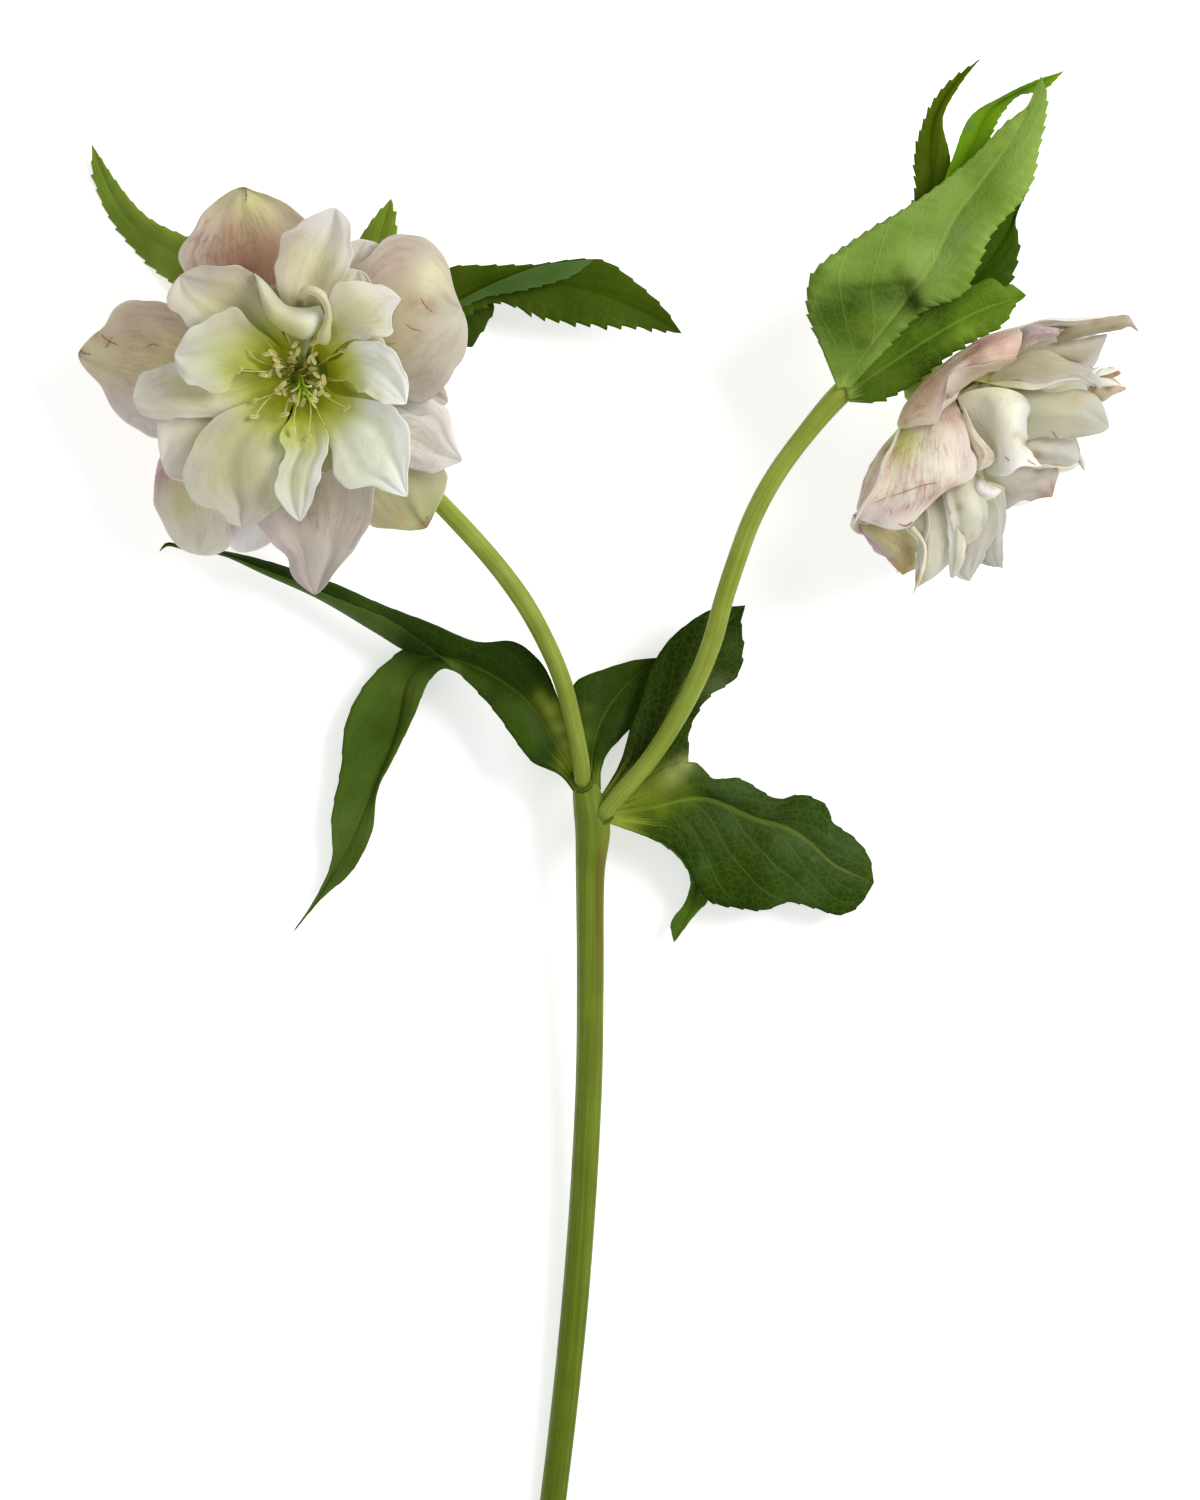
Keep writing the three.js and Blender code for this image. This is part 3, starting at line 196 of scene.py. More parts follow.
RIGHT_BRACT_1 = [
    {"belly": 1.2, "body": "7f9a44", "teeth": (0.7, 0.8), "pitch": 2.8,
     "creases": [((44, 101.8), (61.6, 104.2), 5, 1.5), ((60.2, 105.6), (64.4, 98.4), 2.2, 1.0)],
     "lines": [
        [(47.4, 82, 34.2), (44.6, 89, 37.4), (41.4, 98, 39.2), (42.4, 104.6, 39.6), (50, 111, 40),
         (64.2, 120, 40.8), (73.9, 127.6, 41.6), (80.3, 134.2, 42), (86.2, 139.2, 42.4),
         (87.9, 144.2, 42.8)],
        [(48.4, 82.4, 34.2), (54.2, 90.8, 37.6), (60.6, 99, 39.2), (66, 107, 39.6), (70.6, 116.2, 40),
         (76.6, 124.4, 40.8), (83, 133.6, 41.8), (87.9, 144.2, 42.8)],
        [(49.8, 82, 34.2), (57.4, 90.4, 38), (64.4, 97.6, 40.4), (72, 100.8, 41.8), (75, 106.2, 42),
         (77.6, 112.4, 42.4), (85.2, 121.6, 43), (87.4, 130.2, 43.2), (88.9, 139.6, 43),
         (87.9, 144.2, 42.8)],
    ]},
    {"belly": 1.4, "body": "567210", "teeth": (0.2, 0.9), "pitch": 2.8, "lines": [
        [(48.8, 82.6, 33.6), (54.6, 90, 35.4), (62.8, 97.6, 36.8), (71.6, 101, 38.6), (78, 103.9, 39.8),
         (80.6, 102.2, 39.8), (81.8, 102.7, 39.8), (84.9, 100.6, 39.4)],
        [(49.4, 81.2, 34), (57.6, 86.8, 37.4), (66, 92.2, 39.6), (75, 97.2, 40.2), (84.9, 100.6, 39.4)],
        [(49.8, 79.4, 33.8), (54.6, 79.4, 36.6), (61, 82.2, 39.2), (68, 87.6, 40.6), (73.6, 91.4, 40.6),
         (79, 94, 40), (81.6, 96.8, 39.6), (82.2, 98.4, 39.6), (84.9, 100.6, 39.4)],
    ]},
]
RIGHT_BRACT_2 = [
    {"body": "395206", "teeth": (0.2, 0.9), "pitch": 2.9, "lines": [
        [(49.6, 84, 33.1), (60, 96, 35), (70, 108.4, 36), (78, 117, 36.8), (85.8, 123, 38)],
        [(50, 83.6, 33.1), (64, 94, 34.2), (74, 103.4, 34.6), (80.4, 112, 35.6), (85.8, 123, 38)],
        [(50.6, 83.2, 33.1), (68, 93.4, 34.6), (80.4, 101.6, 35.2), (83.4, 110, 36), (82.8, 115.8, 36.8),
         (85.8, 123, 38)],
    ]},
]
RIGHT_BRACT_3 = [
    {"body": "4c6002", "teeth": (0.7, 0.15), "pitch": 2.4, "lines": [
        [(48.4, 84.4, 30.8), (53, 100, 31), (59.6, 113, 32), (63, 121, 32.8), (62.8, 128, 33.4),
         (64.4, 134.6, 34.2), (68, 141.4, 35.4), (75.7, 147.7, 37)],
        [(49.2, 84.2, 30.8), (56, 100, 30.4), (62.4, 113, 31.2), (65.8, 121.4, 31.8), (65.6, 129, 32.4),
         (66.6, 136, 33.6), (70.4, 142.6, 35.2), (75.7, 147.7, 37)],
        [(50, 84, 30.8), (59, 99, 31), (65.6, 112.6, 32.2), (69.6, 121.6, 33), (69.8, 128, 33.6),
         (68.4, 136, 34.6), (71.6, 142.4, 35.8), (75.7, 147.7, 37)],
    ]},
]
RIGHT_BRACT_4 = [
    {"body": "6f960e", "teeth": (0.1, 0.5), "pitch": 1.8, "lines": [
        [(50, 84, 31.95), (58.4, 99, 32.8), (66, 116, 35), (70.2, 127.6, 36), (74, 136.4, 36.6),
         (79.8, 140.1, 37), (86.2, 143.2, 37.4), (92.5, 145.3, 38)],
        [(50.6, 83.8, 31.95), (60.8, 99, 32.4), (69, 116, 34.4), (73.8, 129, 35.4), (77.4, 137.2, 36),
         (84.4, 141.6, 36.8), (92.5, 145.3, 38)],
        [(51.2, 83.6, 31.95), (63.4, 98.6, 32.8), (72, 115.6, 35.2), (76.4, 128.4, 36.2),
         (79.4, 135.8, 36.8), (83.4, 140.4, 37.2), (88.4, 141.6, 37.6), (92.5, 145.3, 38)],
    ]},
]

# Each leaf: piece, CAD node, lobes, colour at its foot, how far that reaches, and how strongly its
# veins show.
LEAVES = [
    ("fork_leaf_left", "fork_bract_left", FORK_BRACT_LEFT, "7d8c24", 14, 0.3),
    ("fork_leaf_back", "fork_bract_back", FORK_BRACT_BACK, "7d8c24", 9, 0.35),
    ("fork_leaf_right", "fork_bract_right", FORK_BRACT_RIGHT, "9aa83c", 17, 0.5),
    ("left_leaf_1", "left_bloom_bract_1", LEFT_BRACT_1, "66792a", 20, 0.2),
    ("left_leaf_2", "left_bloom_bract_2", LEFT_BRACT_2, "6a7d24", 20, 0.3),
    ("left_leaf_3", "left_bloom_bract_3", LEFT_BRACT_3, "3f5304", 20, 0.5),
    ("right_leaf_1", "right_bloom_bract_1", RIGHT_BRACT_1, "93ad50", 5, 0.6),
    ("right_leaf_2", "right_bloom_bract_2", RIGHT_BRACT_2, "395206", 20, 0.5),
    ("right_leaf_3", "right_bloom_bract_3", RIGHT_BRACT_3, "425402", 20, 0.2),
    ("right_leaf_4", "right_bloom_bract_4", RIGHT_BRACT_4, "5a7c0a", 20, 0.3),
]

# Marks on the leaves: place on the plan, radius, colour and strength. Besides the leaves' own marks they
# hold painted shade, painted highlights and painted sheen.
LEAF_MARKS_AND_PAINTED_LIGHT = {
    "fork_leaf_left": [
        # the pale marks at the foot are painted light, lighter than the leaf is, to lift the shadow of the
        # stalk
        (-11.8, 20.5, 1.8, "6d7e1c", 0.8), (-9.4, 18, 2, "a4b040", 0.9), (-8, 14.6, 1.9, "a8b64c", 0.9),
        (-6.6, 11, 1.8, "a2b044", 0.9), (-6, 7.8, 2.2, "a0b22c", 0.85), (-18, 16.5, 5, "40580c", 0.8),
        (-14, 12, 4, "3a5402", 0.8), (-25, 23.6, 3.4, "38500a", 0.7), (-30, 25.5, 2.6, "56702c", 0.8),
        (-44, 14, 3.4, "3a4e0c", 0.6), (-38.5, 22, 3, "566420", 0.7), (-51, -10, 8, "57692e", 0.7),
        (-45, 39, 5, "3b5010", 0.5),
    ],
    "fork_leaf_back": [
        (-3, 13, 2.2, "61751a", 0.7), (-2.4, 18, 1.6, "4f6410", 0.6),
    ],
    "fork_leaf_right": [
        (4, -1.5, 3, "7c8e1c", 0.8), (8, 0.6, 3.2, "7c8824", 0.85), (11.5, 3, 3.2, "78822a", 0.85),
        (14.6, 5, 2.4, "949c54", 0.85), (17.2, 7.2, 1.8, "9ca65e", 0.8), (12, -1.6, 2.6, "687e16", 0.7),
        (17.5, 0.8, 2.6, "6a7e1e", 0.6), (3, -4.3, 2, "a5b45a", 0.8), (6.5, -4.6, 2.4, "78902a", 0.6),
        # grey-green patches over the second lobe, from (26, 1.8) to (48.5, -11): painted sheen
        (26, 1.8, 5, "40552a", 0.75), (34, -2.4, 4, "3a4f20", 0.7), (41, -18, 4.4, "46602c", 0.75),
        (40, -7, 4, "425a2a", 0.65), (48.5, -11, 4.4, "40562c", 0.65), (21, -13, 2.2, "46602a", 0.6),
        (26, 31, 3.4, "3e5524", 0.8), (23.5, 22.5, 3, "62724a", 0.75), (20, 25, 2, "3e5524", 0.6),
        (22, 9, 2.2, "53682e", 0.6),
    ],
    "right_leaf_1": [
        # dark marks below the crease and under the edge of the upper lobe are painted shade; the light ones
        # along the ridge and on the upper blade are painted highlights
        (45.5, 96.4, 5.2, "374f00", 0.95), (50.6, 98.6, 4.2, "3c5600", 0.95), (57, 100, 3, "2c4200", 0.9),
        (61.2, 101, 2.6, "304600", 0.9), (62.8, 98.4, 2.6, "304600", 0.9), (49.5, 93.4, 4, "445e02", 0.8),
        (59.8, 105.3, 1.8, "425a04", 0.8), (55.4, 106, 1.6, "86a044", 0.6), (50, 105.2, 1.6, "7f9a3c", 0.6),
        (52.6, 91, 2, "3a5200", 0.7), (54, 94.5, 2.6, "60781a", 0.6), (57.4, 98, 2.4, "6a8430", 0.6),
        (44, 104.6, 2.4, "587010", 0.7), (62.6, 103.4, 1.2, "34480c", 0.6),
        (81.6, 132.7, 1.3, "5f7a34", 0.7), (79.4, 129, 1.2, "688438", 0.6), (67, 107.5, 4, "90a85a", 0.7),
        (71, 112.5, 3.4, "94ae68", 0.7), (60, 112, 4, "84a048", 0.5), (66, 116.6, 3, "8ea650", 0.5),
        (72, 103.4, 2.6, "6a8228", 0.6), (73.5, 109.6, 2.2, "6c8a2a", 0.6), (79, 119, 3, "728c28", 0.5),
        (83.6, 134, 3, "92ac50", 0.6), (79, 131.5, 2.6, "708a2c", 0.5), (68, 96.2, 3.2, "3e5801", 0.85),
        (65, 85.6, 3.4, "3a5203", 0.8), (72.6, 93.6, 2.6, "76942c", 0.7), (61, 91.6, 2.6, "445c06", 0.6),
        (81.6, 100.8, 1.8, "789628", 0.7), (76, 99, 2.4, "58700c", 0.6), (56, 84, 2, "5c7620", 0.5),
    ],
    "right_leaf_4": [
        (73, 134.6, 1.6, "5e7f40", 0.8), (76.4, 139, 1.6, "5e7f40", 0.8), (80, 140.6, 1.8, "5a7a38", 0.8),
        (83.6, 141.8, 2, "5a7a34", 0.7), (88, 143.6, 2.4, "55801c", 0.6),
    ],
}

# ---- the open bloom: each blade is two edges and a rib on the plan, and the bend of its rib ----

# Foot of the receptacle, axis, and the direction of azimuth zero.
OPEN_BLOOM = ((-58.2, 85.6, 22.0), (-0.2, -0.1, 0.97), (1, 0, 0))
# The middle of the drawn blades on the plan.
OPEN_AXIS_SPOT = (-59.0, 85.2)

# Each blade: reach and height of its tip on the bloom's axis, the slopes of its rib at foot and tip
# and how far its rims bend up, all three in degrees; its tip; and one edge, the rib and the other
# edge from foot to tip, without the tip.
OPEN_SEPALS = [
    ((39.5, 7, 14, 8, 12), (-71.1, 122.6), [  # top
        [(-74.7, 94.8), (-80.5, 100.7), (-83.2, 106.1), (-83.8, 109.2), (-81.5, 113.2), (-79.5, 117.1),
         (-76.5, 120), (-72.6, 122.2)],
        [(-64.7, 94.8), (-66.3, 102.3), (-68.8, 112.3), (-70.3, 118.2)],
        [(-61.3, 99), (-58.7, 109), (-57.8, 115.8), (-60.2, 117), (-62.3, 119.3), (-65.1, 120.8),
         (-68.8, 121.5)],
    ]),
    ((36.4, 1, 30, -50, 12), (-27.5, 98), [  # right
        [(-53, 97.3), (-49.7, 105.7), (-45.9, 109), (-44, 110.8), (-41.8, 112.5), (-38.4, 113),
         (-34.2, 112.2), (-31.2, 109.7), (-29.7, 106.1), (-28.8, 101.9)],
        [(-49.7, 89.8), (-41.3, 94), (-33, 96.5)],
        [(-49.7, 84), (-41.3, 80.7), (-34.7, 79.7), (-30.9, 82.2), (-28.2, 85.8), (-26.5, 90.2),
         (-26.2, 94.2)],
    ]),
    ((47.4, 4, 10, 2, 18), (-104.7, 89.4), [  # left
        [(-70.5, 92.3), (-78, 97.3), (-85.9, 99.8), (-91.3, 100.4), (-94.8, 99.4), (-97.6, 97.7),
         (-98.7, 95.2), (-101.8, 92.8)],
        [(-70.5, 85.7), (-83, 87.3), (-95.5, 89)],
        [(-69.7, 80.7), (-78.8, 73.2), (-87.2, 72.2), (-90.5, 73.3), (-95.1, 76.5), (-98.2, 79.8),
         (-100.1, 83.2), (-103.8, 86.9)],
    ]),
    ((42.2, 1, 10, -14, 12), (-80.5, 49), [  # lower left
        [(-71.3, 79.8), (-80.5, 75.7), (-87.2, 69), (-89.5, 64), (-89.3, 59.4), (-87.3, 55.2),
         (-85.1, 51.5), (-83.7, 50)],
        [(-68.8, 74), (-75.5, 62.3)],
        [(-64.7, 75.7), (-68.8, 63.2), (-73, 55.7), (-73.7, 52.8), (-74.7, 49.8), (-77.2, 48.9)],
    ]),
    ((37, -1, 4, -16, 8), (-71.3, 49.4), [  # lowest
        [(-66.3, 75.7), (-72.2, 63.2), (-74.2, 54), (-74.2, 50.3)],
        [(-64.7, 69), (-68.8, 56.5)],
        [(-61.3, 74), (-63.8, 63.2), (-64.5, 54.8), (-66.2, 51.3), (-68.8, 50)],
    ]),
    ((44.4, 5, 14, 2, 14), (-56.9, 40.7), [  # bottom
        [(-64.7, 75.7), (-68.8, 67.3), (-70.3, 59.8), (-69, 56.1), (-66.3, 51.9), (-62.6, 48.2),
         (-61.2, 44.4)],
        [(-58.8, 70.7), (-57, 59), (-56.2, 49)],
        [(-53.8, 75.7), (-46.3, 69), (-44.2, 61.5), (-46.2, 54.8), (-49.9, 49), (-53.7, 43.8)],
    ]),
    ((38.8, 0, 10, -18, 10), (-34.5, 54.2), [  # lower right
        [(-54.7, 74), (-49.7, 63.2), (-45.9, 55.5), (-44.2, 54.4), (-41.3, 53.8), (-37.6, 53.8)],
        [(-48, 71.5), (-41.3, 62.3)],
        [(-44.7, 75.7), (-36.3, 69), (-30.1, 66.3), (-30.9, 62.3), (-32.6, 58.2)],
    ]),
    ((36.6, 5, 18, -4, 12), (-27.2, 67.6), [  # right low
        [(-49.7, 74), (-42.2, 67.3), (-37.2, 66.1), (-33.8, 65.5), (-30.5, 66.3)],
        [(-46.3, 78.2), (-38, 74.4), (-31.3, 70.2)],
        [(-48, 82.3), (-39.7, 81.1), (-33, 80.7), (-30.5, 78.3), (-29.7, 75.7), (-28.8, 71.5)],
    ]),
    ((30, 5, 18, -8, 10), (-46.3, 111.7), [  # upper right
        [(-58, 96.5), (-53.8, 104.8), (-50.5, 110.7), (-48.7, 112.1)],
        [(-53.8, 97.3), (-48.8, 105.7)],
        [(-50.5, 94), (-44.7, 99), (-42.2, 104.8), (-43.4, 109.8), (-44.5, 111.2)],
    ]),
    ((34, 3, 18, -20, 8), (-30.2, 79.2), [  # right middle
        [(-48, 79.8), (-38.8, 76.9), (-33.8, 77.3)],
        [(-46.3, 84), (-38, 82.8)],
        [(-44.7, 88.2), (-36.3, 87.3), (-32.6, 84.4), (-30.5, 81.3)],
    ]),
]
OPEN_PETALS = [
    ((34.6, 15, 38, 2, 24), (-52.7, 118.2), [  # top
        [(-61.8, 94.8), (-63.8, 100.7), (-64.4, 105.2), (-64.2, 109.8), (-62.6, 113.2), (-60.1, 114.2),
         (-58, 116.1), (-55.1, 117.6)],
        [(-58.8, 95.7), (-57, 104), (-54.8, 112.3)],
        [(-54.7, 94.8), (-52.6, 102.3), (-50.1, 105.7), (-48.9, 108.6), (-48.8, 112.3), (-50.5, 116.3)],
    ]),
    ((30.6, 13, 38, -2, 18), (-83.8, 104.8), [  # upper left
        [(-66.3, 89), (-74.7, 93.2), (-81.3, 94), (-84.2, 96.8), (-85.9, 99.4), (-85.8, 101.9)],
        [(-68, 93.2), (-75.9, 99)],
        [(-64.7, 95.7), (-67.6, 103.8), (-71.3, 106.1), (-75.1, 106.9), (-79.7, 106.7)],
    ]),
    ((26.6, 18, 48, 4, 22), (-85, 89), [  # left
        [(-65.5, 84.8), (-70.5, 86.1), (-73.2, 84), (-73.8, 81.8), (-75.5, 81.2), (-80.3, 82.3),
         (-84.1, 85.5)],
        [(-68, 88.6), (-76.3, 89.4)],
        [(-64.7, 91.5), (-68.8, 94.7), (-70.9, 97.3), (-72.6, 98.2), (-76.3, 97.3), (-79, 95.8),
         (-82.2, 93.2)],
    ]),
    ((34.6, 12, 34, -4, 16), (-93.5, 79.8), [  # left low
        [(-65.5, 80.7), (-71.3, 78.8), (-75.9, 76.5), (-80.5, 76.1), (-86.8, 76.3), (-91.2, 76.5)],
        [(-68, 84), (-76.3, 81.7), (-85.5, 81.1)],
        [(-66.3, 87.3), (-74.7, 85.7), (-80.5, 86.9), (-85.1, 87.5), (-90.1, 86.1), (-92.2, 84)],
    ]),
    ((33, 10, 30, -4, 14), (-87.6, 67.3), [  # lower left back
        [(-66.3, 77.3), (-73, 70.7), (-79.2, 64.2), (-83, 63.5), (-86.2, 64.7)],
        [(-69.7, 79), (-78.8, 71.1)],
        [(-68, 82.3), (-76.3, 79), (-83, 77.3), (-87.8, 75.9), (-88.4, 71.9)],
    ]),
    ((31.2, 14, 38, 2, 14), (-71.3, 54.4), [  # lower left
        [(-61.3, 79), (-62.8, 74), (-62.3, 69.8), (-63.7, 64.8), (-63.4, 59.4), (-66.3, 56.3)],
        [(-64.7, 78.6), (-70.1, 69.8), (-72, 60.7)],
        [(-66.3, 80.7), (-72.2, 78.8), (-75.5, 77.3), (-78.8, 74.8), (-81.5, 70.7), (-82.8, 65),
         (-81.9, 60.4), (-79.2, 58.5), (-75.9, 57.9), (-74.5, 55.5)],
    ]),
    ((29.6, 18, 46, 8, 36), (-59.7, 55.4), [  # bottom
        [(-57.2, 79), (-54.7, 75.2), (-53.8, 70.2), (-55.3, 66.1), (-57.4, 59)],
        [(-59.5, 76.5), (-59.2, 69.8), (-59.8, 62.3)],
        [(-61.3, 77.3), (-63.7, 72.8), (-62.4, 69.7), (-64.2, 66.1), (-64, 60.7), (-61.6, 56.7)],
    ]),
    ((32.4, 15, 40, 0, 18), (-38.3, 60.3), [  # lower right
        [(-53.8, 81.5), (-46.3, 80), (-41.3, 78.8), (-38.3, 76.5), (-37.8, 71.9), (-38, 65.7)],
        [(-53.8, 78.6), (-46.8, 71.9), (-40.9, 64.8)],
        [(-57.2, 79), (-54.7, 74), (-53.4, 68.2), (-52.2, 64.2), (-49.7, 62.2), (-45.1, 62.3),
         (-41.3, 61.1)],
    ]),
    ((22.4, 18, 52, 8, 22), (-38.5, 78.8), [  # right
        [(-55.5, 87.3), (-51.3, 88.6), (-49.7, 91.1), (-46.3, 91.9), (-42.8, 91), (-40.1, 88.3),
         (-38, 84.2)],
        [(-53, 85.8), (-46.3, 85.7), (-41.3, 82.5)],
        [(-54.7, 83.6), (-50.5, 83.8), (-46.3, 80.7), (-41.3, 78.8)],
    ]),
    ((24.6, 16, 50, -50, 10), (-39.5, 99.7), [  # upper right
        [(-54.7, 87.3), (-52.2, 90.2), (-49.7, 91.7), (-45.1, 92.1), (-40.8, 92.5), (-41.4, 94.4),
         (-41.2, 96.9)],
        [(-54.7, 90.7), (-48, 96.5)],
        [(-58, 90.7), (-54.7, 97.3), (-53.8, 100.7), (-51.2, 103.2), (-48.3, 103.8), (-44.5, 102.8),
         (-41.3, 101.5)],
    ]),
    ((26, 11, 38, 2, 18), (-48.4, 105.7), [  # upper right back
        [(-50.5, 94), (-46.3, 97.3), (-45.3, 102.3), (-46.8, 105.2)],
        [(-53.8, 96.5), (-50.5, 101.5)],
        [(-56.3, 96.5), (-54.7, 102.3), (-52, 105.2), (-50.1, 106.1)],
    ]),
]
# Blades that curl over the others: lines from foot to tip, in order across each blade.
OPEN_CURLS = [
    [
        [(-69.1, 105.1, 34), (-67.2, 103.8, 36), (-65.1, 101.5, 37), (-62.6, 98.8, 37), (-58.8, 98.2, 37),
         (-55.7, 98.7, 36)],
        [(-68.9, 104.8, 37), (-67.4, 101.9, 40), (-65.9, 99, 41), (-63, 96.7, 41), (-58.8, 95.5, 41),
         (-55.2, 97.5, 39)],
        [(-68.6, 104.3, 37), (-67.6, 100, 39), (-66.3, 96.5, 39), (-63.7, 94.3, 39), (-58.2, 92.3, 38),
         (-54.8, 96.1, 38)],
        [(-66.3, 100.7, 34), (-65.5, 98.2, 33), (-63.8, 94.8, 32), (-61.8, 92.8, 31), (-58.8, 91.5, 31),
         (-56.3, 94.8, 34)],
        [(-60.9, 88.6, 27), (-60.7, 88.3, 27), (-60.3, 88.2, 27), (-59.8, 88, 27), (-59.5, 88, 27),
         (-59, 88.2, 27)],
    ],
    [
        [(-60.3, 89, 27), (-60.5, 98.2, 33), (-60.3, 100.7, 38), (-58.8, 102.6, 41), (-56.2, 102.2, 42),
         (-53.8, 100.2, 42), (-53, 97.3, 41), (-53.7, 94, 40), (-53.5, 91.9, 39), (-54.7, 90.5, 38)],
        [(-59.7, 89, 27), (-59.8, 98.3, 33), (-59.5, 100.3, 38), (-58.3, 101.7, 42), (-56.3, 101.3, 43),
         (-54.5, 99.4, 43), (-53.8, 96.9, 42), (-54.5, 94, 41), (-55.2, 92.2, 40), (-55.7, 90.8, 38)],
        [(-58.8, 89, 27), (-59.1, 98.3, 33), (-58.7, 100, 38), (-57.8, 100.8, 41), (-56.3, 100.3, 42),
         (-55.2, 98.6, 42), (-54.7, 96.5, 41), (-55.3, 94.4, 40), (-56.5, 92.6, 39), (-56.3, 91.2, 38)],
    ],
]
# Petals that line the inside of the bloom, below those that are seen whole: azimuth, reach, height,
# width, rise, end, cup, point.
OPEN_LINING = [
    (18, 19, 9.5, 14, 40, 14, 16, 0.4), (62, 19, 9, 14, 40, 14, 16, 0.4), (96, 19, 9, 14, 40, 14, 16, 0.4),
    (122, 20, 8.5, 14, 38, 12, 16, 0.4), (158, 20, 9, 15, 38, 12, 16, 0.4),
    (200, 20, 8, 15, 36, 10, 16, 0.4), (224, 20, 8, 14, 36, 10, 16, 0.4),
    (258, 20, 8.6, 14, 38, 12, 16, 0.4), (288, 20, 9, 14, 38, 12, 16, 0.4),
    (333, 19, 9.4, 15, 40, 14, 16, 0.4),
]
# Where the anthers of the outer stamens lie on the plan.
SPLAYED_ANTHERS = [
    (-67.2, 92.6), (-63, 94.2), (-66.3, 89), (-71.3, 90.9), (-72, 85.7), (-67.2, 84.8), (-69, 79.7),
    (-69, 76.5), (-63, 76.9), (-61.2, 73.8), (-58.3, 72.3), (-53.4, 73.2), (-57.2, 79.8), (-55.1, 83.8),
    (-48.7, 84.3), (-50.5, 78.2), (-51.3, 89.6), (-63.4, 82.8), (-64, 86.5), (-65.3, 89.2), (-57, 91.2),
    (-60.8, 90.9), (-54.6, 80.9),
]

# Colours of each blade: its middle, its tip, its first rim and its last. Besides each blade's own colour
# they hold painted light and shade: blades that lie in shade are painted darker, lit ones paler.
OPEN_SEPAL_TONES = [
    "bb9d80 b6ac8e b6ada0 c8bda6", "c0b696 bab5a4 b8b0a2 b4ad9e", "dacea6 bab19c cabda8 e9e4e2",
    "e9dfc2 dcdaca d8cac4 ded7ce", "ece4de f4eff2 e9e1dc f0eae8", "bab3a2 b4aeaa bdb4b0 c4beb0",
    "b5b38a a8a87c a29b74 aeac90", "f0f0e5 d7d2ce cec8bb e6e0da", "cfc8b8 d6d2cb cfc7bb d2ccc2",
    "eee8da c5bbb0 f2ede3 ddd6c8",
]
OPEN_PETAL_TONES = [
    "e8e2c0 dcd6d2 cbc1ad f0ebdc", "e6e1b6 ccc6ba c3bcb1 c6bba4", "c5c69b cccabd c8c8b4 d4d2bb",
    "dedbb4 d3cec2 cecbb6 e4dcce", "efe9c8 e8e1d4 e0d8c8 d6ccbb", "bfbd96 c4bfb2 e0debc c1bdad",
    "cdcea3 d9d8cf eff2e6 cbccb7", "eaeed4 f2f4ec f8f8f2 d4d5c0", "f5f7e5 f3f4ea f8f8f2 dadbbc",
    "cecba2 d7d4cc dbdac6 d1cbb8", "dcd4c0 e2dacf ddd4c9 ddd4c9",
]
CURL_TONES = ["c4c47c f0f0de d3d2ba b4bc50", "e2d5bb cac494 dfd6b4 ece3cb"]
LINING_TONES = "c9c596 d3cfb0 d3cfb0 d3cfb0"
# How strongly each sepal's veins show.
OPEN_SEPAL_VEINS = [2.0, 0.9, 1.2, 1.3, 1.0, 1.3, 0.9, 1.2, 1.2, 1.2]
# Soft marks: place on the plan, radius, colour and strength. One of them is a painted highlight.
OPEN_SEPAL_MARKS = [
    (-68.7, 106, 4.5, "9c7068", 0.5), (-75, 108, 4.5, "a57e76", 0.4), (-62.5, 108.5, 4, "a57c74", 0.45),
    (-80, 114.5, 3.2, "d5c8bc", 0.6), (-70.2, 119.2, 2.6, "c9c98a", 0.8),
    (-68.3, 116.8, 2.8, "c2bf86", 0.6), (-65, 118, 2.6, "cfc8a0", 0.5), (-71, 122.4, 0.8, "5b3a26", 0.9),
    (-104.6, 89.6, 1.3, "6b4a30", 0.9), (-101.2, 93.8, 1.6, "a08560", 0.5),
    (-98.4, 91.6, 1.3, "9c7058", 0.7), (-100.6, 93, 1.2, "a07a60", 0.6), (-89.6, 91, 1.2, "a5806a", 0.5),
    (-99.5, 88, 5, "c2bc94", 0.6), (-94.5, 95, 4, "b5a098", 0.5), (-92, 79, 5, "d3c9c6", 0.6),
    (-88.6, 64.5, 3.2, "b08c94", 0.65), (-83.2, 60, 4, "c2c28c", 0.8), (-81.2, 54, 4, "cfcbb4", 0.6),
    (-73.7, 54, 0.8, "8a6040", 0.7), (-64, 52, 4, "dcccca", 0.5), (-61.5, 60, 6, "a39489", 0.5),
    (-56.8, 42, 4, "b9a6a2", 0.5), (-50, 55, 5, "cdc3bc", 0.5), (-34.6, 54.8, 1.4, "8f6c38", 0.9),
    (-40, 56.4, 1.1, "a58a50", 0.6), (-30, 62, 3, "d3d6a8", 0.5), (-27.6, 68, 1.6, "bba0a8", 0.5),
    # the pale yellow patch at (-33.2, 104) on the right sepal is a painted highlight
    (-32, 72, 5, "e0dcd4", 0.6), (-40, 107.3, 4, "c2ac9c", 0.6), (-33.2, 104, 3.6, "e8e2ba", 0.85),
    (-33.9, 98.4, 1.4, "9f7654", 0.7), (-37.4, 99.6, 1.3, "a5805e", 0.6), (-32.6, 91, 6, "c9c0b6", 0.5),
    (-44, 104, 3, "c4b2a4", 0.5),
]
OPEN_PETAL_MARKS = [
    (-49.2, 112, 2.2, "d3bcc4", 0.5), (-62, 113.3, 2.2, "cdb9b9", 0.5), (-76.6, 105.3, 4, "b5a89a", 0.5),
    (-54, 104, 4, "d9d39c", 0.5), (-73, 99, 5, "c0b890", 0.4), (-60.6, 66, 3, "e3e3cc", 0.5),
    (-72, 70, 6, "b6b482", 0.5), (-80, 72, 3.5, "c6bd92", 0.4), (-72.4, 86.4, 3.2, "8f9636", 0.7),
    (-69, 80, 2.2, "9aa038", 0.5), (-67.2, 76.6, 2.6, "8c9434", 0.5), (-61, 77.4, 2.2, "7f8820", 0.5),
    (-57, 79.2, 2.2, "666c10", 0.7),
]
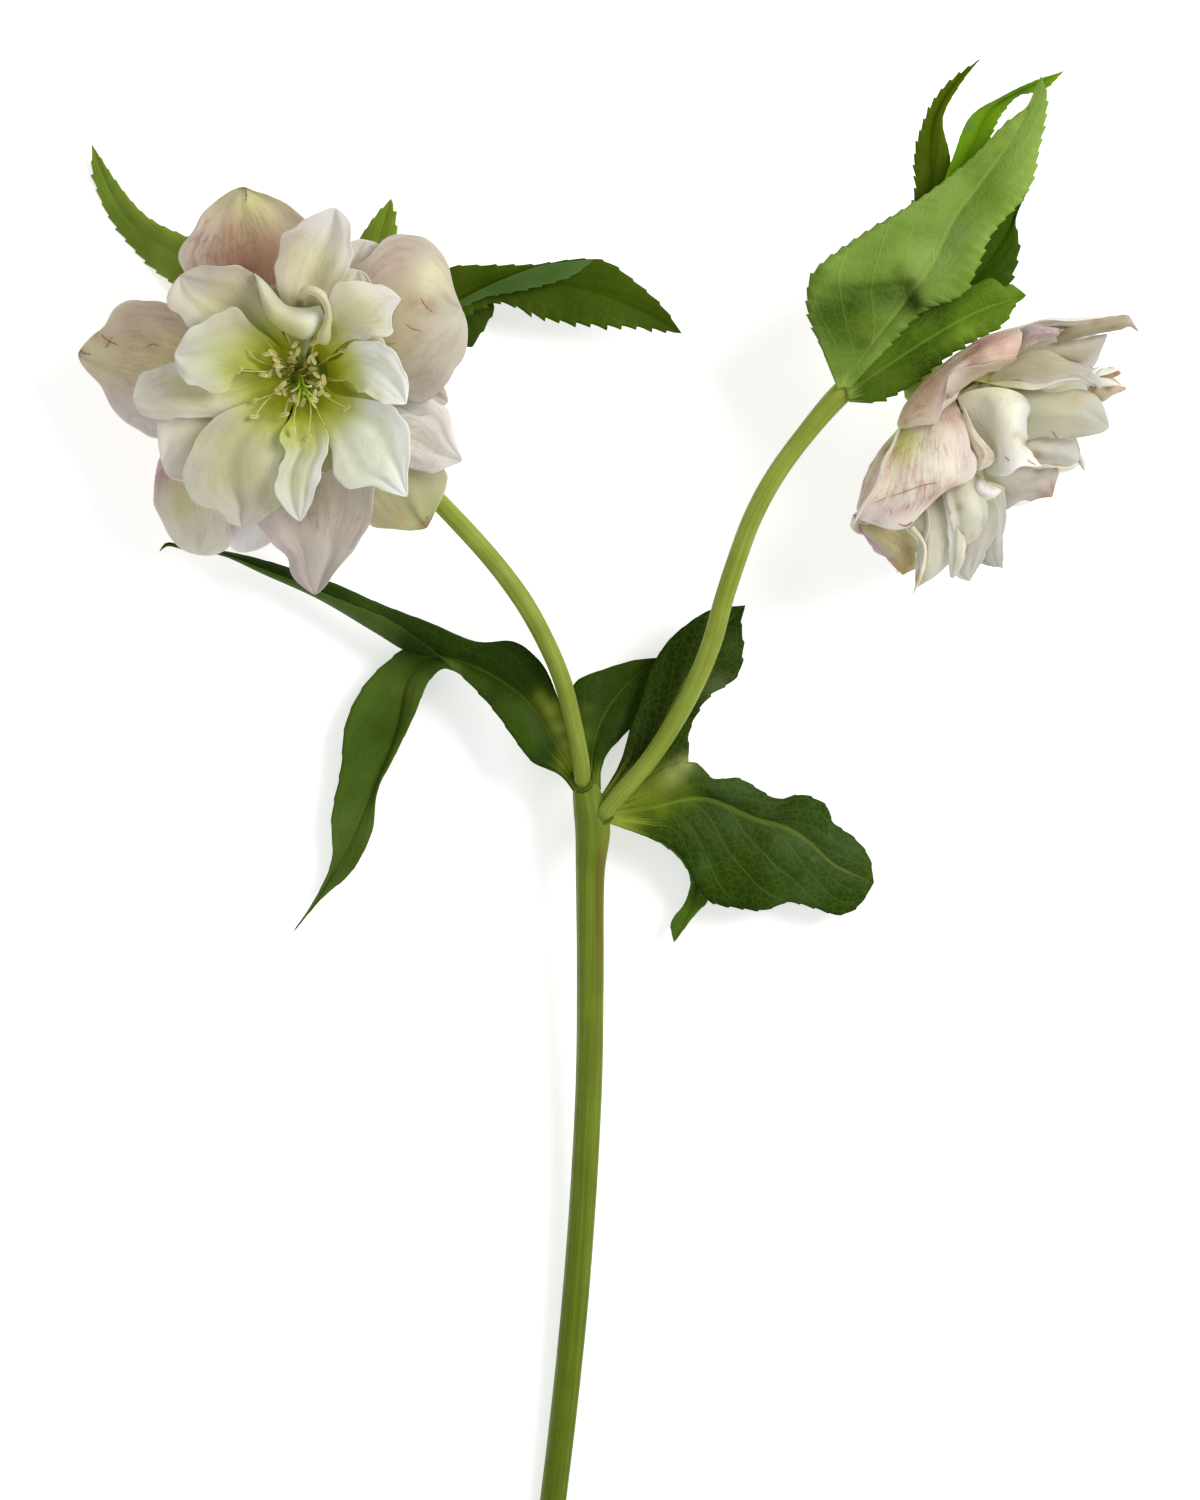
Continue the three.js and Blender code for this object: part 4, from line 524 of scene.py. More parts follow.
# Thin dry lines on the sepals: places on the plan, radius and colour.
OPEN_SCARS = [
    (((-99.8, 93.2), (-98.6, 92), (-96.4, 91)), 0.17, "a87f5e"),
    (((-98.9, 90.4), (-98.2, 91.6), (-97.4, 92.8)), 0.13, "ae8462"),
    (((-90.6, 90.6), (-89.6, 91.2), (-88.2, 90.8)), 0.11, "b08865"),
    (((-35.8, 100.2), (-34.6, 98.4), (-33.2, 97.2)), 0.15, "ae845e"),
    (((-38.8, 95), (-37.4, 94), (-35.6, 93.6)), 0.13, "b48b67"),
    (((-43.8, 91.8), (-42, 91), (-40.4, 91.2)), 0.1, "b68e6c"),
    (((-70.9, 122.2), (-70.6, 121), (-70.7, 119.6)), 0.21, "9e7856"),
    (((-104, 90), (-103.2, 89.4), (-102, 89.2)), 0.21, "987756"),
    (((-35.6, 55.4), (-34.8, 55.6), (-34.4, 56.8)), 0.17, "ae855a"),
]

# ---- the side bloom: lines from foot to tip, in order across each blade ----

# Foot of the receptacle, axis, and the direction of azimuth zero.
SIDE_BLOOM = ((65.0, 83.2, 30.9), (0.75, -0.63, 0.2), (0.64, 0.76, 0))
SIDE_SEPALS = [
    [  # facing sepal, its tip turned back
        [(62.5, 77.5, 40), (60.1, 73.6, 43), (57.8, 69.8, 45), (55.5, 65.3, 46.5), (53.2, 60, 47),
         (51.5, 57.8, 45), (49.7, 56.6, 43)],
        [(64.2, 78.2, 41), (62.1, 73.2, 46), (60.5, 69, 48.5), (59.8, 64.8, 49.5), (59.2, 61.2, 49.5),
         (57.1, 57.1, 47), (55.5, 54.6, 44)],
        [(65.9, 78.8, 42), (65.2, 73.2, 48), (64.8, 69, 51), (64.4, 65.5, 52), (63.8, 62.4, 51.5),
         (61.8, 57.8, 48), (60.5, 53.8, 45)],
        [(68.2, 79.4, 42), (68.6, 74.8, 49), (69, 70.2, 52), (69.4, 66.3, 53), (69.5, 63.2, 52),
         (66.3, 60.2, 49), (62.5, 55.4, 46)],
        [(69.4, 79.8, 42), (70.4, 75.8, 48.5), (71.4, 71.6, 51.5), (72.1, 67, 52.5), (71.8, 63.8, 51.5),
         (69.6, 62, 50), (66.2, 59.4, 48)],
        [(70.5, 80.2, 42), (71.8, 77.1, 47), (73.2, 73.2, 50), (74.2, 68.6, 51.5), (74.7, 65, 51),
         (73, 63.2, 50.5), (69.8, 62.8, 50)],
    ],
    [  # narrow sepal beside it
        [(71.7, 76, 47.5), (73, 72, 49), (74, 68.6, 49.5), (74.8, 65.5, 49.5)],
        [(72.2, 76.8, 48.5), (74.2, 72.2, 51.2), (76.4, 69, 52), (75.2, 65.5, 50)],
        [(72.4, 78.4, 48.5), (74.4, 74, 51), (76.4, 71.2, 52), (78.3, 69.2, 52.2), (78.6, 67.7, 51.6),
         (76.8, 66.2, 51), (75.2, 65.4, 50)],
    ],
    [  # upper sepal, its margin rolled over
        [(59.1, 74.8, 46), (60.3, 78.2, 47), (63.2, 81.8, 48), (69, 86.7, 50), (74.8, 90.8, 51),
         (78.6, 92.8, 51), (83.4, 93.7, 51)],
        [(59.4, 74, 49), (62.1, 77.1, 53), (65.5, 80.9, 55), (70.5, 85.9, 57), (76.3, 89.4, 58),
         (80.2, 91.3, 58), (83.9, 92.3, 56)],
        [(60.4, 73.9, 50), (64.2, 74.5, 54), (66.8, 74.9, 55.5), (68.5, 80.2, 57.5), (69, 83.4, 58),
         (70.5, 85.3, 58.5), (74.8, 86.5, 59), (78.6, 87.4, 59), (82.9, 88, 57)],
    ],
    [  # end of the upper sepal
        [(82.8, 93.2, 50), (85.9, 94.7, 51), (88.2, 94.2, 51), (91.1, 93.8, 50)],
        [(83.4, 91.3, 52), (85.5, 92.5, 53), (88, 92.8, 53), (91.2, 93.2, 51)],
        [(83.6, 89.5, 50), (84.8, 90, 51), (87.8, 91.5, 51), (91.3, 92.5, 50.5)],
    ],
    [  # far sepal, its margin rolled
        [(90.8, 92.5, 46), (93.2, 94, 47), (97.8, 95.5, 47), (101.1, 96.2, 47), (104.8, 96.5, 46),
         (106, 95.2, 45), (107.1, 93.5, 43)],
        [(90.9, 91.5, 47), (93.7, 92.8, 49), (97.8, 94, 50), (101.1, 94.8, 50), (104, 95.2, 49),
         (105.7, 94.7, 46.5), (107.1, 93.4, 43.5)],
        [(91.1, 90.5, 46), (94.2, 91.7, 47.5), (97.8, 92.5, 48), (101.1, 93.2, 48), (103.2, 93.2, 47.5),
         (105.2, 94.3, 46), (106.9, 93.4, 43.5)],
    ],
    [  # left sepal, seen edge on
        [(59.8, 74.4, 38), (55.5, 69.4, 39), (52.3, 63.6, 39.5), (51.2, 57.8, 39)],
        [(60.5, 74.2, 40.5), (57.2, 69.8, 42), (54.6, 64.8, 42.5), (51.5, 57.8, 41)],
        [(61.3, 74, 41), (59, 70.2, 43), (56.7, 65.5, 44), (54, 60.9, 44), (51.7, 57.7, 42.5)],
    ],
    [  # lower left sepal
        [(50, 56.5, 36), (52.1, 53.2, 36), (55.5, 49.4, 35.5), (58.6, 46.7, 35), (60.4, 44.9, 34)],
        [(52.5, 54.8, 38.5), (55.5, 52.5, 38.5), (59.4, 48.6, 37.5), (60.4, 44.9, 34)],
        [(55.5, 55.4, 38), (60.9, 54.4, 38.5), (64.4, 51, 38), (64, 47, 36.5), (60.4, 44.9, 34)],
    ],
]
SIDE_PETALS = [
    [  # inner face of the rolled margin
        [(68.5, 80.9, 57), (68.9, 83.4, 57.6), (70.5, 85.3, 58), (74.8, 86.5, 58.4), (78.6, 87.4, 58.4),
         (82.9, 87.9, 56.6)],
        [(69, 80.5, 55), (70.5, 82.8, 55.5), (74, 84.8, 56), (78.6, 86.2, 56), (82.5, 87.6, 55.5)],
        [(69.5, 79.8, 52), (71.8, 81.7, 52), (74.8, 83.8, 53), (77.8, 85.4, 54), (82.2, 87.4, 54)],
    ],
    [  # great curled petal
        [(70.9, 80.2, 46), (72.1, 77.1, 46), (73.6, 73.2, 46), (75.5, 69.4, 46), (76.7, 64.6, 46)],
        [(73.6, 81.5, 48.5), (75.5, 77.8, 49), (76.9, 73.2, 48.8), (78, 69.4, 49), (79, 64.5, 49.4)],
        [(77.8, 82.2, 50), (78.6, 78.6, 53.5), (79.4, 74, 54.5), (80, 70.2, 54.5), (81.2, 64.6, 53)],
        [(81.5, 81.7, 50.5), (81.8, 78.6, 55), (81.7, 74.8, 56.5), (82.1, 70.9, 56.5), (83.4, 66.2, 55)],
        [(84.4, 80.3, 49.5), (84.8, 78.2, 53.5), (84, 75.5, 55.5), (83.8, 71.7, 56), (85.5, 68, 54.5),
         (86.2, 66.2, 53.5)],
        [(85.6, 77.8, 48), (85.6, 77.5, 50), (84.9, 75.4, 52.5), (84.6, 71.7, 53.5), (85.9, 68.6, 53),
         (87.9, 66.3, 52)],
    ],
    [  # small curled petal
        [(74.6, 65.2, 46), (76.3, 64, 48), (78.2, 62.5, 48.5), (79.8, 61.7, 47.5)],
        [(74.2, 63.2, 47.5), (75.4, 62.1, 49.5), (77.5, 61.2, 49), (79.8, 61.7, 47.5)],
        [(73.6, 60.9, 46), (74.4, 59.7, 46.5), (77.1, 59.7, 47), (79, 60.7, 47.5), (79.8, 61.7, 47.5)],
    ],
    [  # far petal
        [(80.2, 85.5, 42), (84.8, 89.4, 43), (90.2, 90.9, 44.5), (96.3, 92.1, 45.5), (101.1, 92.9, 45)],
        [(80.2, 84.8, 43), (85.5, 87.7, 45), (91.7, 89, 46), (97.8, 90.2, 46), (101.1, 92.9, 45)],
        [(80.2, 84, 42), (85.5, 85.9, 43), (91.7, 86.7, 44), (97.1, 85.9, 44.5), (98.8, 87.5, 44.5),
         (101.1, 92.9, 45)],
    ],
    [  # wavy petal
        [(74.8, 81.7, 42), (78.6, 84.9, 45), (85.5, 89.9, 46), (90.2, 89, 46.5), (94, 87.2, 46.5),
         (98.2, 85.7, 46), (99.9, 83.2, 44.5)],
        [(75.5, 81.3, 43), (80.9, 84.8, 46.5), (87.1, 85.9, 48.5), (91.7, 85.5, 49), (95.5, 85.2, 48.5),
         (98.2, 83.8, 47), (100, 82.8, 45)],
        [(76.3, 80.9, 42), (82.5, 83.8, 46), (85.9, 82.8, 47), (88.8, 81.5, 48), (91.7, 82.6, 48.5),
         (94.8, 83.6, 48.5), (97.8, 81.7, 47), (99.9, 82.2, 45)],
    ],
    [  # broad petal below it
        [(70.9, 80.5, 40), (76.3, 83.8, 42), (82.5, 83.8, 43), (87.1, 81.8, 44), (93.2, 81.7, 45),
         (97.8, 81.2, 45), (100.3, 78.6, 44.5), (101.5, 74.2, 43.5)],
        [(72.1, 79.5, 41), (77.1, 79.4, 44), (84, 77.8, 46), (90.2, 77.5, 47), (96.3, 77.1, 46.5),
         (101.5, 74.2, 43.5)],
        [(73.2, 78.6, 40), (77.8, 74.8, 41.5), (84, 71.7, 43), (90.2, 72.5, 44.5), (94, 72, 45),
         (99.4, 72.8, 44.5), (101.5, 74.2, 43.5)],
    ],
    [  # petal with a drooping edge
        [(74.8, 74.8, 38), (80.9, 73.2, 40), (87.1, 73.2, 41.5), (91.7, 72.3, 42), (94.6, 71.7, 41.5),
         (95.4, 67.5, 40.5)],
        [(75.5, 73.2, 39), (82.5, 71.3, 42), (88.6, 70.2, 43), (93.2, 69.4, 42.5), (95.4, 67.5, 40.5)],
        [(76.3, 71.7, 38), (80.9, 70.2, 39.5), (85.9, 67.8, 41), (90.2, 66.5, 41.5), (93.2, 66.5, 41),
         (95.4, 67.5, 40.5)],
    ],
    [  # petal tip behind it
        [(90.2, 71.7, 37), (94.4, 70.2, 38), (95.7, 69, 39), (96.5, 67.5, 38.5), (96.6, 65.5, 37.5)],
        [(90.2, 70.5, 37.5), (94.4, 69, 39), (95.7, 67.8, 39.3), (96.6, 65.5, 37.5)],
        [(90.2, 69.4, 37), (94, 67.8, 38), (95.1, 67.7, 38.5), (95.7, 66.7, 38.2), (96.6, 65.5, 37.5)],
    ],
    [  # upper brown tip
        [(97.1, 86.7, 39), (99.8, 85.7, 40), (101.7, 86.3, 40), (103.8, 85.3, 38.5)],
        [(97.1, 85.5, 39.5), (100.2, 85, 41), (102.1, 85.3, 40.6), (103.7, 84.8, 38.5)],
        [(97.1, 84.4, 39), (100, 84.2, 40), (102.3, 84.2, 39.6), (103.8, 85, 38.5)],
    ],
    [  # lower brown tip
        [(97.1, 83.2, 39), (99.8, 82.3, 40), (102.5, 82.6, 40), (104.8, 82.4, 38.5)],
        [(97.1, 81.7, 39.5), (99.8, 80.9, 41), (102.1, 81.5, 40.6), (104.8, 82.1, 38.5)],
        [(97.1, 79.8, 39), (100.2, 79.4, 40), (102.1, 80.6, 39.6), (104.8, 81.8, 38.5)],
    ],
    [  # petal with brown ends
        [(77.1, 70.2, 34), (80.9, 67.1, 35), (85.5, 66.3, 36.5), (90.2, 66.5, 37), (91.4, 66.3, 36.5),
         (90.8, 63.2, 35.5), (90.2, 60.4, 34.5)],
        [(77.1, 67.8, 35), (80.9, 63.2, 37), (85.5, 62.5, 38), (88.6, 62.8, 37.5), (90.2, 60.4, 34.5)],
        [(76.3, 65.5, 34), (77.8, 60.9, 35), (80.9, 57.8, 35.5), (83.4, 59.4, 36), (85.9, 59.4, 36),
         (88.2, 60.3, 35.5), (90.2, 60.4, 34.5)],
    ],
    [  # lower petal, first
        [(59.8, 55, 40), (63, 51.4, 41), (62.8, 47.1, 41), (63, 42.5, 40)],
        [(64, 60, 42), (66.8, 53.2, 44.5), (66.6, 47.1, 43.5), (63, 42.4, 40)],
        [(69, 63.5, 42), (70.9, 57.8, 43.5), (70.8, 51.7, 43.5), (69.3, 47.2, 42), (66.3, 44.3, 41),
         (63, 42.3, 40)],
    ],
    [  # folded tip
        [(61.3, 54, 42), (64.2, 50.9, 43), (63.6, 45.5, 42.5), (62.3, 40.9, 41)],
        [(61.8, 54.4, 43), (64.5, 50.9, 44.6), (63.9, 45.5, 43.8), (62.3, 40.9, 41)],
        [(62.5, 54.8, 42.5), (64.9, 50.9, 43.6), (64.5, 45.5, 42.8), (62.3, 40.9, 41)],
    ],
    [  # lower petal, second
        [(67.6, 63, 44), (69.2, 55, 46), (69.4, 50.2, 45.5), (69.6, 44.4, 44)],
        [(69.4, 63, 45.5), (71, 55, 48), (71.2, 50.2, 47), (70.2, 44.1, 44)],
        [(71.6, 63, 45), (73.4, 55.6, 47), (73.1, 50.9, 46), (71.8, 46.2, 45), (70.3, 44.2, 44)],
    ],
    [  # lower petal, third
        [(68, 64.5, 46), (69.4, 57.4, 47.5), (70.7, 53.4, 47.5), (72.9, 50.8, 46)],
        [(71.6, 65, 48), (73.8, 57, 50), (72.9, 50.8, 46)],
        [(75.4, 64.6, 47), (77, 59, 48.5), (76.7, 55.2, 48), (75.2, 52.4, 47), (72.9, 50.8, 46)],
    ],
    [  # lower petal, fourth
        [(69.4, 57, 37), (70, 50.2, 38), (70.7, 44.9, 37.5), (73.7, 43.5, 37)],
        [(73.4, 59, 40), (74.2, 53.2, 41), (74.9, 49.4, 40.5), (73.7, 43.5, 37)],
        [(78, 61.5, 40), (79.6, 58, 41), (79.4, 54.6, 41), (76.4, 48.1, 39.5), (73.7, 43.5, 37)],
    ],
    [  # lower petal, fifth
        [(74.8, 63.5, 37), (75.8, 54.8, 37.5), (75.4, 47.6, 36.5), (77.6, 46.7, 36)],
        [(77.8, 63.5, 38.5), (78.8, 54.8, 39.5), (78.6, 50.2, 38.5), (79.1, 46.4, 36.5)],
        [(80.6, 62.5, 38), (81, 57.1, 38.5), (80.3, 51.7, 38), (80.4, 46.2, 36.5)],
    ],
]
# Blades far from the camera: azimuth, reach, height, width, rise, end, cup, point.
SIDE_BACK_SEPALS = [
    (4, 36.5, 23.5, 26, 12, 46, 16, 0.8), (86, 20, 7, 15, 54, -80, 8, 0.4),
    (164, 33, 9, 30, 18, 6, 10, 0.6), (193, 33.4, 19, 24, 24, 34, 16, 0.8),
    (234, 34, 13, 28, 28, 8, 16, 0.6), (280, 34.4, 11, 28, 26, 6, 16, 0.6),
    (324, 35, 17, 26, 28, 18, 16, 0.7),
]
SIDE_BACK_PETALS = [
    (18, 26, 27, 20, 42, 34, 12, 0.5), (175, 33, 26, 17, 42, 36, 18, 0.85),
    (204, 21, 33, 15, 58, 62, 18, 0.85), (226, 29, 26, 17, 46, 40, 18, 0.7),
    (264, 22, 28, 17, 54, 48, 18, 0.5), (292, 20, 31, 17, 58, 54, 18, 0.7),
    (328, 29.4, 28, 18, 48, 40, 18, 0.75), (8, 27, 29, 16, 48, 44, 18, 0.75),
    (34, 15, 26, 14, 60, 62, 18, 0.75), (165, 24, 27, 16, 48, 40, 18, 0.7),
]

# Colours of each blade: its middle, its tip, its first rim and its last. They hold painted light and shade
# as well as each blade's own colour: some blades in shadow are painted lighter to lift it.
SIDE_SEPAL_TONES = [
    "f6eed8 f7ece0 f2eed8 dfd2c9", "f8e8c8 f8eed8 f0e6ca f0e8d4", "bca284 c4ae98 b8a890 d2c8ba",
    "ad9a98 b3a9a0 b4a59e c4b6a5", "a39b80 a69e84 aba692 a59c80", "e0d3b8 cfbbae d7d0c0 f2e5d0",
    "c6be8c b8a470 c2acb2 faf4c0",
]
SIDE_PETAL_TONES = [
    "ccb79e c5b78e d5c7b4 cfc1a9", "f8f5de f5f2e8 fffef0 c4c4be", "ece6e1 ece6e0 cfcbc0 f0eae4",
    "b1a78f b4b1a6 cac3b1 c8c5bd", "b6ae93 b5b2ab bdb597 d3cbbd", "bcb9a0 b4b1a6 c0bca6 bcb9a8",
    "c3c1b3 bdbab5 e2e1da c0bab2", "c6c2b6 cdc8c0 c6c2b6 c6c2b6", "b5a48a a58a6c b5a48a b5a48a",
    "b9ad94 b59c7e b9ad94 b9ad94", "b8b3ab afa398 d2cbc6 c1bbb5", "dedbc6 cec9bc fdfcf0 dedac8",
    "e6e0c8 dedacd e6e0c8 e6e0c8", "d8d6c0 c8c4b6 fdfcf2 dedbc8", "d5d3be d5d2c6 e8e3cc b9b7a8",
    "c9c5ba c5c2bb cdcac2 bab7ac", "bbb7b0 b0aca4 b9b5ae b6b2ac",
]
BACK_SEPAL_TONES = "e0d6c8 e2d8cc e8e0d6 e8e0d6"
BACK_PETAL_TONES = "dedcc4 e2e0d4 e0ded0 e0ded0"
# How strongly each sepal's veins show.
SIDE_SEPAL_VEINS = [1.9, 1.9, 2.8, 1.9, 1.0, 1.4, 1.4]
# Soft marks: place on the plan, radius, colour and strength. Two at the foot of the facing sepal hold
# painted shade and painted light.
SIDE_MARKS = [
    # the marks at (59.8, 71.5) and (61, 71.6) are the facing sepal's green foot: the first painted in its
    # shade, the second painted lighter to lift it out of shadow
    (59.8, 71.5, 2.8, "c3cc74", 0.8), (61, 68, 2.4, "dcdf9c", 0.5), (55.2, 55.4, 0.9, "a5806a", 0.6),
    (61, 71.6, 2.6, "e0ee96", 0.8), (57.8, 69.4, 1.6, "a8a24c", 0.8), (70.4, 76, 2.4, "c6a48c", 0.6),
    (74.5, 88, 3, "ab8a78", 0.5), (80.8, 91.4, 1.6, "b98f98", 0.6), (77.6, 89, 1.3, "e6d6b4", 0.7),
    (81.6, 89.6, 1.3, "ecdcbc", 0.7), (75.4, 90.4, 1.2, "b48a92", 0.6), (60.6, 61.4, 0.9, "bf9478", 0.6),
    (63.6, 62.2, 0.9, "c29a80", 0.6), (66.6, 62.8, 0.9, "bf9478", 0.6), (57.6, 60.6, 0.9, "c29a80", 0.6),
    (55, 59.4, 0.9, "b98a6c", 0.6), (69.6, 63.2, 0.8, "c29a80", 0.5), (56.4, 57.4, 0.9, "d2a8ba", 0.6),
    (58.9, 57.2, 0.8, "d2a8ba", 0.6), (61.4, 58.4, 0.9, "d2a8ba", 0.6), (63.8, 59.4, 0.9, "cfa4b6", 0.6),
    (53.6, 57.6, 0.9, "d6b4bc", 0.5), (59.5, 57.8, 2.2, "cfae98", 0.4), (66.4, 60.6, 1.4, "b98f78", 0.5),
    (70.4, 62.4, 1.2, "bf9a88", 0.5), (46.2, 57.4, 1.2, "8a6a4a", 0.7), (51, 56.6, 1.2, "a88468", 0.5),
    (57.6, 45.4, 1, "7d5a34", 0.6), (84.4, 70.8, 0.8, "a87848", 0.7), (82.6, 72.6, 0.8, "b08850", 0.5),
    (87, 68.8, 0.9, "b08850", 0.6), (101.2, 82.2, 0.9, "6b4a2a", 0.8), (94.4, 79.8, 1.2, "b8925c", 0.5),
    (91, 66.2, 1, "a5783c", 0.6), (93.4, 65.6, 1.3, "9a6f38", 0.7), (87.4, 65.4, 0.8, "a87848", 0.5),
    (71.6, 58.2, 0.8, "b89058", 0.6), (74.2, 52.4, 0.7, "c09a60", 0.5), (103.4, 90.6, 1.3, "8a5f3c", 0.7),
    (104.6, 85.2, 1.2, "a5825c", 0.5), (98.2, 82, 0.8, "5b4028", 0.8), (102.8, 85, 1.3, "8f6238", 0.8),
    (100.6, 86, 1.2, "a57c58", 0.6), (90.6, 62, 1.4, "9a6e50", 0.6), (88.6, 60.4, 1.2, "9a7040", 0.6),
    (79, 90.4, 2, "c9938c", 0.5), (82.6, 88.6, 1.4, "b9756a", 0.5), (69, 80.4, 3, "a98078", 0.5),
    (64, 76.4, 2.6, "e2d2b4", 0.6), (98.6, 95.2, 1, "8f6a3c", 0.6), (92.6, 93.6, 1.6, "a98a58", 0.5),
    (50, 56, 1, "8f6a48", 0.5), (62.8, 44, 1.6, "b0985c", 0.6), (70.6, 82.8, 2, "d2ccc8", 0.6),
]
# Thin dry lines on the blades: places on the plan, radius and colour.
SIDE_SEPAL_SCARS = [
    (((68.7, 63.2), (66, 63), (63.5, 62.4), (60.5, 61.3), (57, 60.2), (54, 58.9)), 0.1, "b2825e"),
    (((62.2, 55.4), (60.9, 54.6), (59.4, 55)), 0.19, "9d7752"),
    (((61.7, 59.2), (61.2, 58.3), (60.6, 57.7)), 0.13, "b98c64"),
    (((51, 57), (50.6, 56.4), (51.2, 55.8)), 0.16, "a77f5b"),
    (((57.7, 58.4), (57.8, 57.6), (58.1, 56.8)), 0.1, "be9274"),
]
SIDE_PETAL_SCARS = [
    (((79.8, 68.9), (80.5, 68.3), (81.3, 67.4)), 0.21, "b08559"),
    (((84.6, 67.8), (86, 66.9), (87.2, 66.6)), 0.14, "b48959"),
    (((90.1, 73.5), (90.6, 72.6), (91.3, 71.9)), 0.17, "b79259"),
    (((97.4, 82.4), (98.4, 82), (99.2, 82.2)), 0.22, "816448"),
    (((71.2, 54.6), (71.8, 53.4), (72.7, 52.4)), 0.12, "bb9565"),
]

# ---- how fine the grids are, and the forms that repeat ----

PETAL_CELLS = (26, 16)  # along and across
SIDE_CELLS = (24, 16)
CURVE_STEPS = 20  # between two points of a table
LEAF_COLUMNS = 10  # on each side of the rib
ROWS_PER_TOOTH = 5
TOOTH_OUT, TOOTH_AHEAD = 0.9, 0.8  # the way a tooth points
LOBE_BELLY = 0.5  # of lobes that give none
VEIN_PAIRS = 7.0  # side veins along each half of a lobe
VEIN_SWEEP = 0.4  # how far they lie ahead at the rim, as a share of the length
VEIN_SWELL = 0.016  # of the half width of a lobe, between two side veins
CREASE_DROP = 1.2  # how far the lower side of a crease takes to fall

BELLY = 0.62  # where a petal is widest, as a share of its length
CLAW = 1.9  # half width of a petal's foot
TIP_CROWDING = 1.5  # rows stand closer towards the tip
RIB_ARM = 0.38  # handles of the rib's curve, as a share of its span
STEEPEST = 0.8  # limit of the slope that a blade keeps beyond its rib
SPAN_UNIT = 20  # a blade of this mean width carries a span of 1
WELD_GAP = 2e-6  # metres

# Feet of every other sepal and petal: radius and height on the bloom's axis.
SEPAL_FEET = ((4.0, 0.2), (4.0, 0.9))
PETAL_FEET = ((4.0, 2.9), (3.6, 3.7))
LINING_FOOT = (4.2, 2.0)

# Turned parts on a bloom's axis: height and radius.
RECEPTACLE = [(-4.4, 2.2), (-4.0, 2.6), (-1.2, 5.0), (1.2, 5.2), (1.6, 3.0)]
PETAL_RING = [(2.2, 4.6), (2.5, 5.0), (3.2, 5.1), (4.4, 4.5), (4.6, 2.0)]
STAMEN_DISC = [(4.9, 3.2), (5.1, 3.5), (6.0, 3.6), (6.2, 2.4)]
CARPEL_CORE = [(5.6, 1.2), (6.2, 1.6), (7.8, 1.5), (8.8, 0.9), (9, 0.4)]

# The styles of one bloom: the way each leans, in degrees, and how far it reaches.
STYLES = [(10, 2.2), (200, 2.3), (256, 3.8), (306, 5.0), (324, 4.2)]
# The line of a style: share of its reach, and height on the axis.
STYLE_LINE = ((0.1, 7.6), (0.12, 11), (0.3, 13.4), (0.65, 14.4), (1, 14.3))
GOLDEN_ANGLE = math.radians(137.508)
STAMEN_FOOT = 5.6  # height on the axis
OUTER_FOOT, INNER_FOOT = 2.9, 2.2  # how far from the axis stamens stand
OPEN_ANTHER_HEIGHT = 10.6
OPEN_CROWD, SIDE_CROWD = 40, 16  # stamens in the middle of each bloom
SIDE_ANTHERS, SIDE_ANTHER_REACH, SIDE_ANTHER_HEIGHT = 12, 6.5, 13.0
ANTHER_HALF_LENGTH, ANTHER_RADIUS = 1.15, 0.46
ANTHER_SIDES, ANTHER_RINGS = 10, 9
THREAD_SIDES, THREAD_RINGS = 6, 9
STYLE_SIDES, STYLE_RINGS = 10, 14
BUTTON_SIDES = 24
# Dry lines: their radius from end to end as a factor, and how high they lie over a blade.
SCAR_RADII = np.array([0.3, 0.8, 1, 0.7, 0.9, 1, 0.6, 0.8, 0.3])
SCAR_SIDES = 6
SCAR_LIFT = 0.1
SPOT_NEARNESS = 1.6  # a blade lies over a spot when one of its points is nearer than this


# ---- curves and grids of points, in millimetres ----

def unit(vectors):
    """Vectors at length one. Those without a length stay as they are."""
    return vectors / (np.linalg.norm(vectors, axis=-1, keepdims=True) + 1e-9)


def along_line(points, parts):
    """The places on a line of points at some parts of its length."""
    steps = np.linalg.norm(np.diff(points, axis=0), axis=1)
    walked = np.concatenate([[0], np.cumsum(steps)])
    return np.stack([np.interp(parts * walked[-1], walked, axis) for axis in points.T], axis=1)


def curve_through(points, count):
    """Evenly spaced points along a centripetal Catmull-Rom curve."""
    p = np.asarray(points, float)
    p = np.vstack([2 * p[0] - p[1], p, 2 * p[-1] - p[-2]])
    dense = []
    for a, b, c, d in zip(p, p[1:], p[2:], p[3:]):
        gaps = [max(np.linalg.norm(y - x), 1e-6) ** 0.5 for x, y in ((a, b), (b, c), (c, d))]
        t1, t2, t3 = np.cumsum(gaps)
        t = np.linspace(t1, t2, CURVE_STEPS, endpoint=False)[:, None]
        ab = a + (b - a) * t / t1
        bc = b + (c - b) * (t - t1) / (t2 - t1)
        cd = c + (d - c) * (t - t2) / (t3 - t2)
        abc = ab + (bc - ab) * t / t2
        bcd = bc + (cd - bc) * (t - t1) / (t3 - t1)
        dense.append(abc + (bcd - abc) * (t - t1) / (t2 - t1))
    return along_line(np.vstack(dense + [p[-2][None]]), np.linspace(0, 1, count + 1))


def grid_through(lines, rows, columns):
    """A grid whose columns run along the lines and whose rows bend smoothly across them."""
    grid = []
    for row in np.stack([curve_through(line, rows) for line in lines], axis=1):
        if np.ptp(row, axis=0).max() < 1e-3:
            grid.append(np.repeat(row[:1], columns + 1, axis=0))
        else:
            grid.append(curve_through(row, columns))
    return np.array(grid)


def shares(grid):
    """u from foot to tip and v from -1 to 1 across, for each point of a grid."""
    rows, columns = grid.shape[:2]
    return np.meshgrid(np.linspace(0, 1, rows), np.linspace(-1, 1, columns), indexing="ij")


def smooth(low, high, x):
    """0 below low and 1 above high, with a soft step between them."""
    t = np.clip((x - low) / (high - low), 0, 1)
    return t * t * (3 - 2 * t)


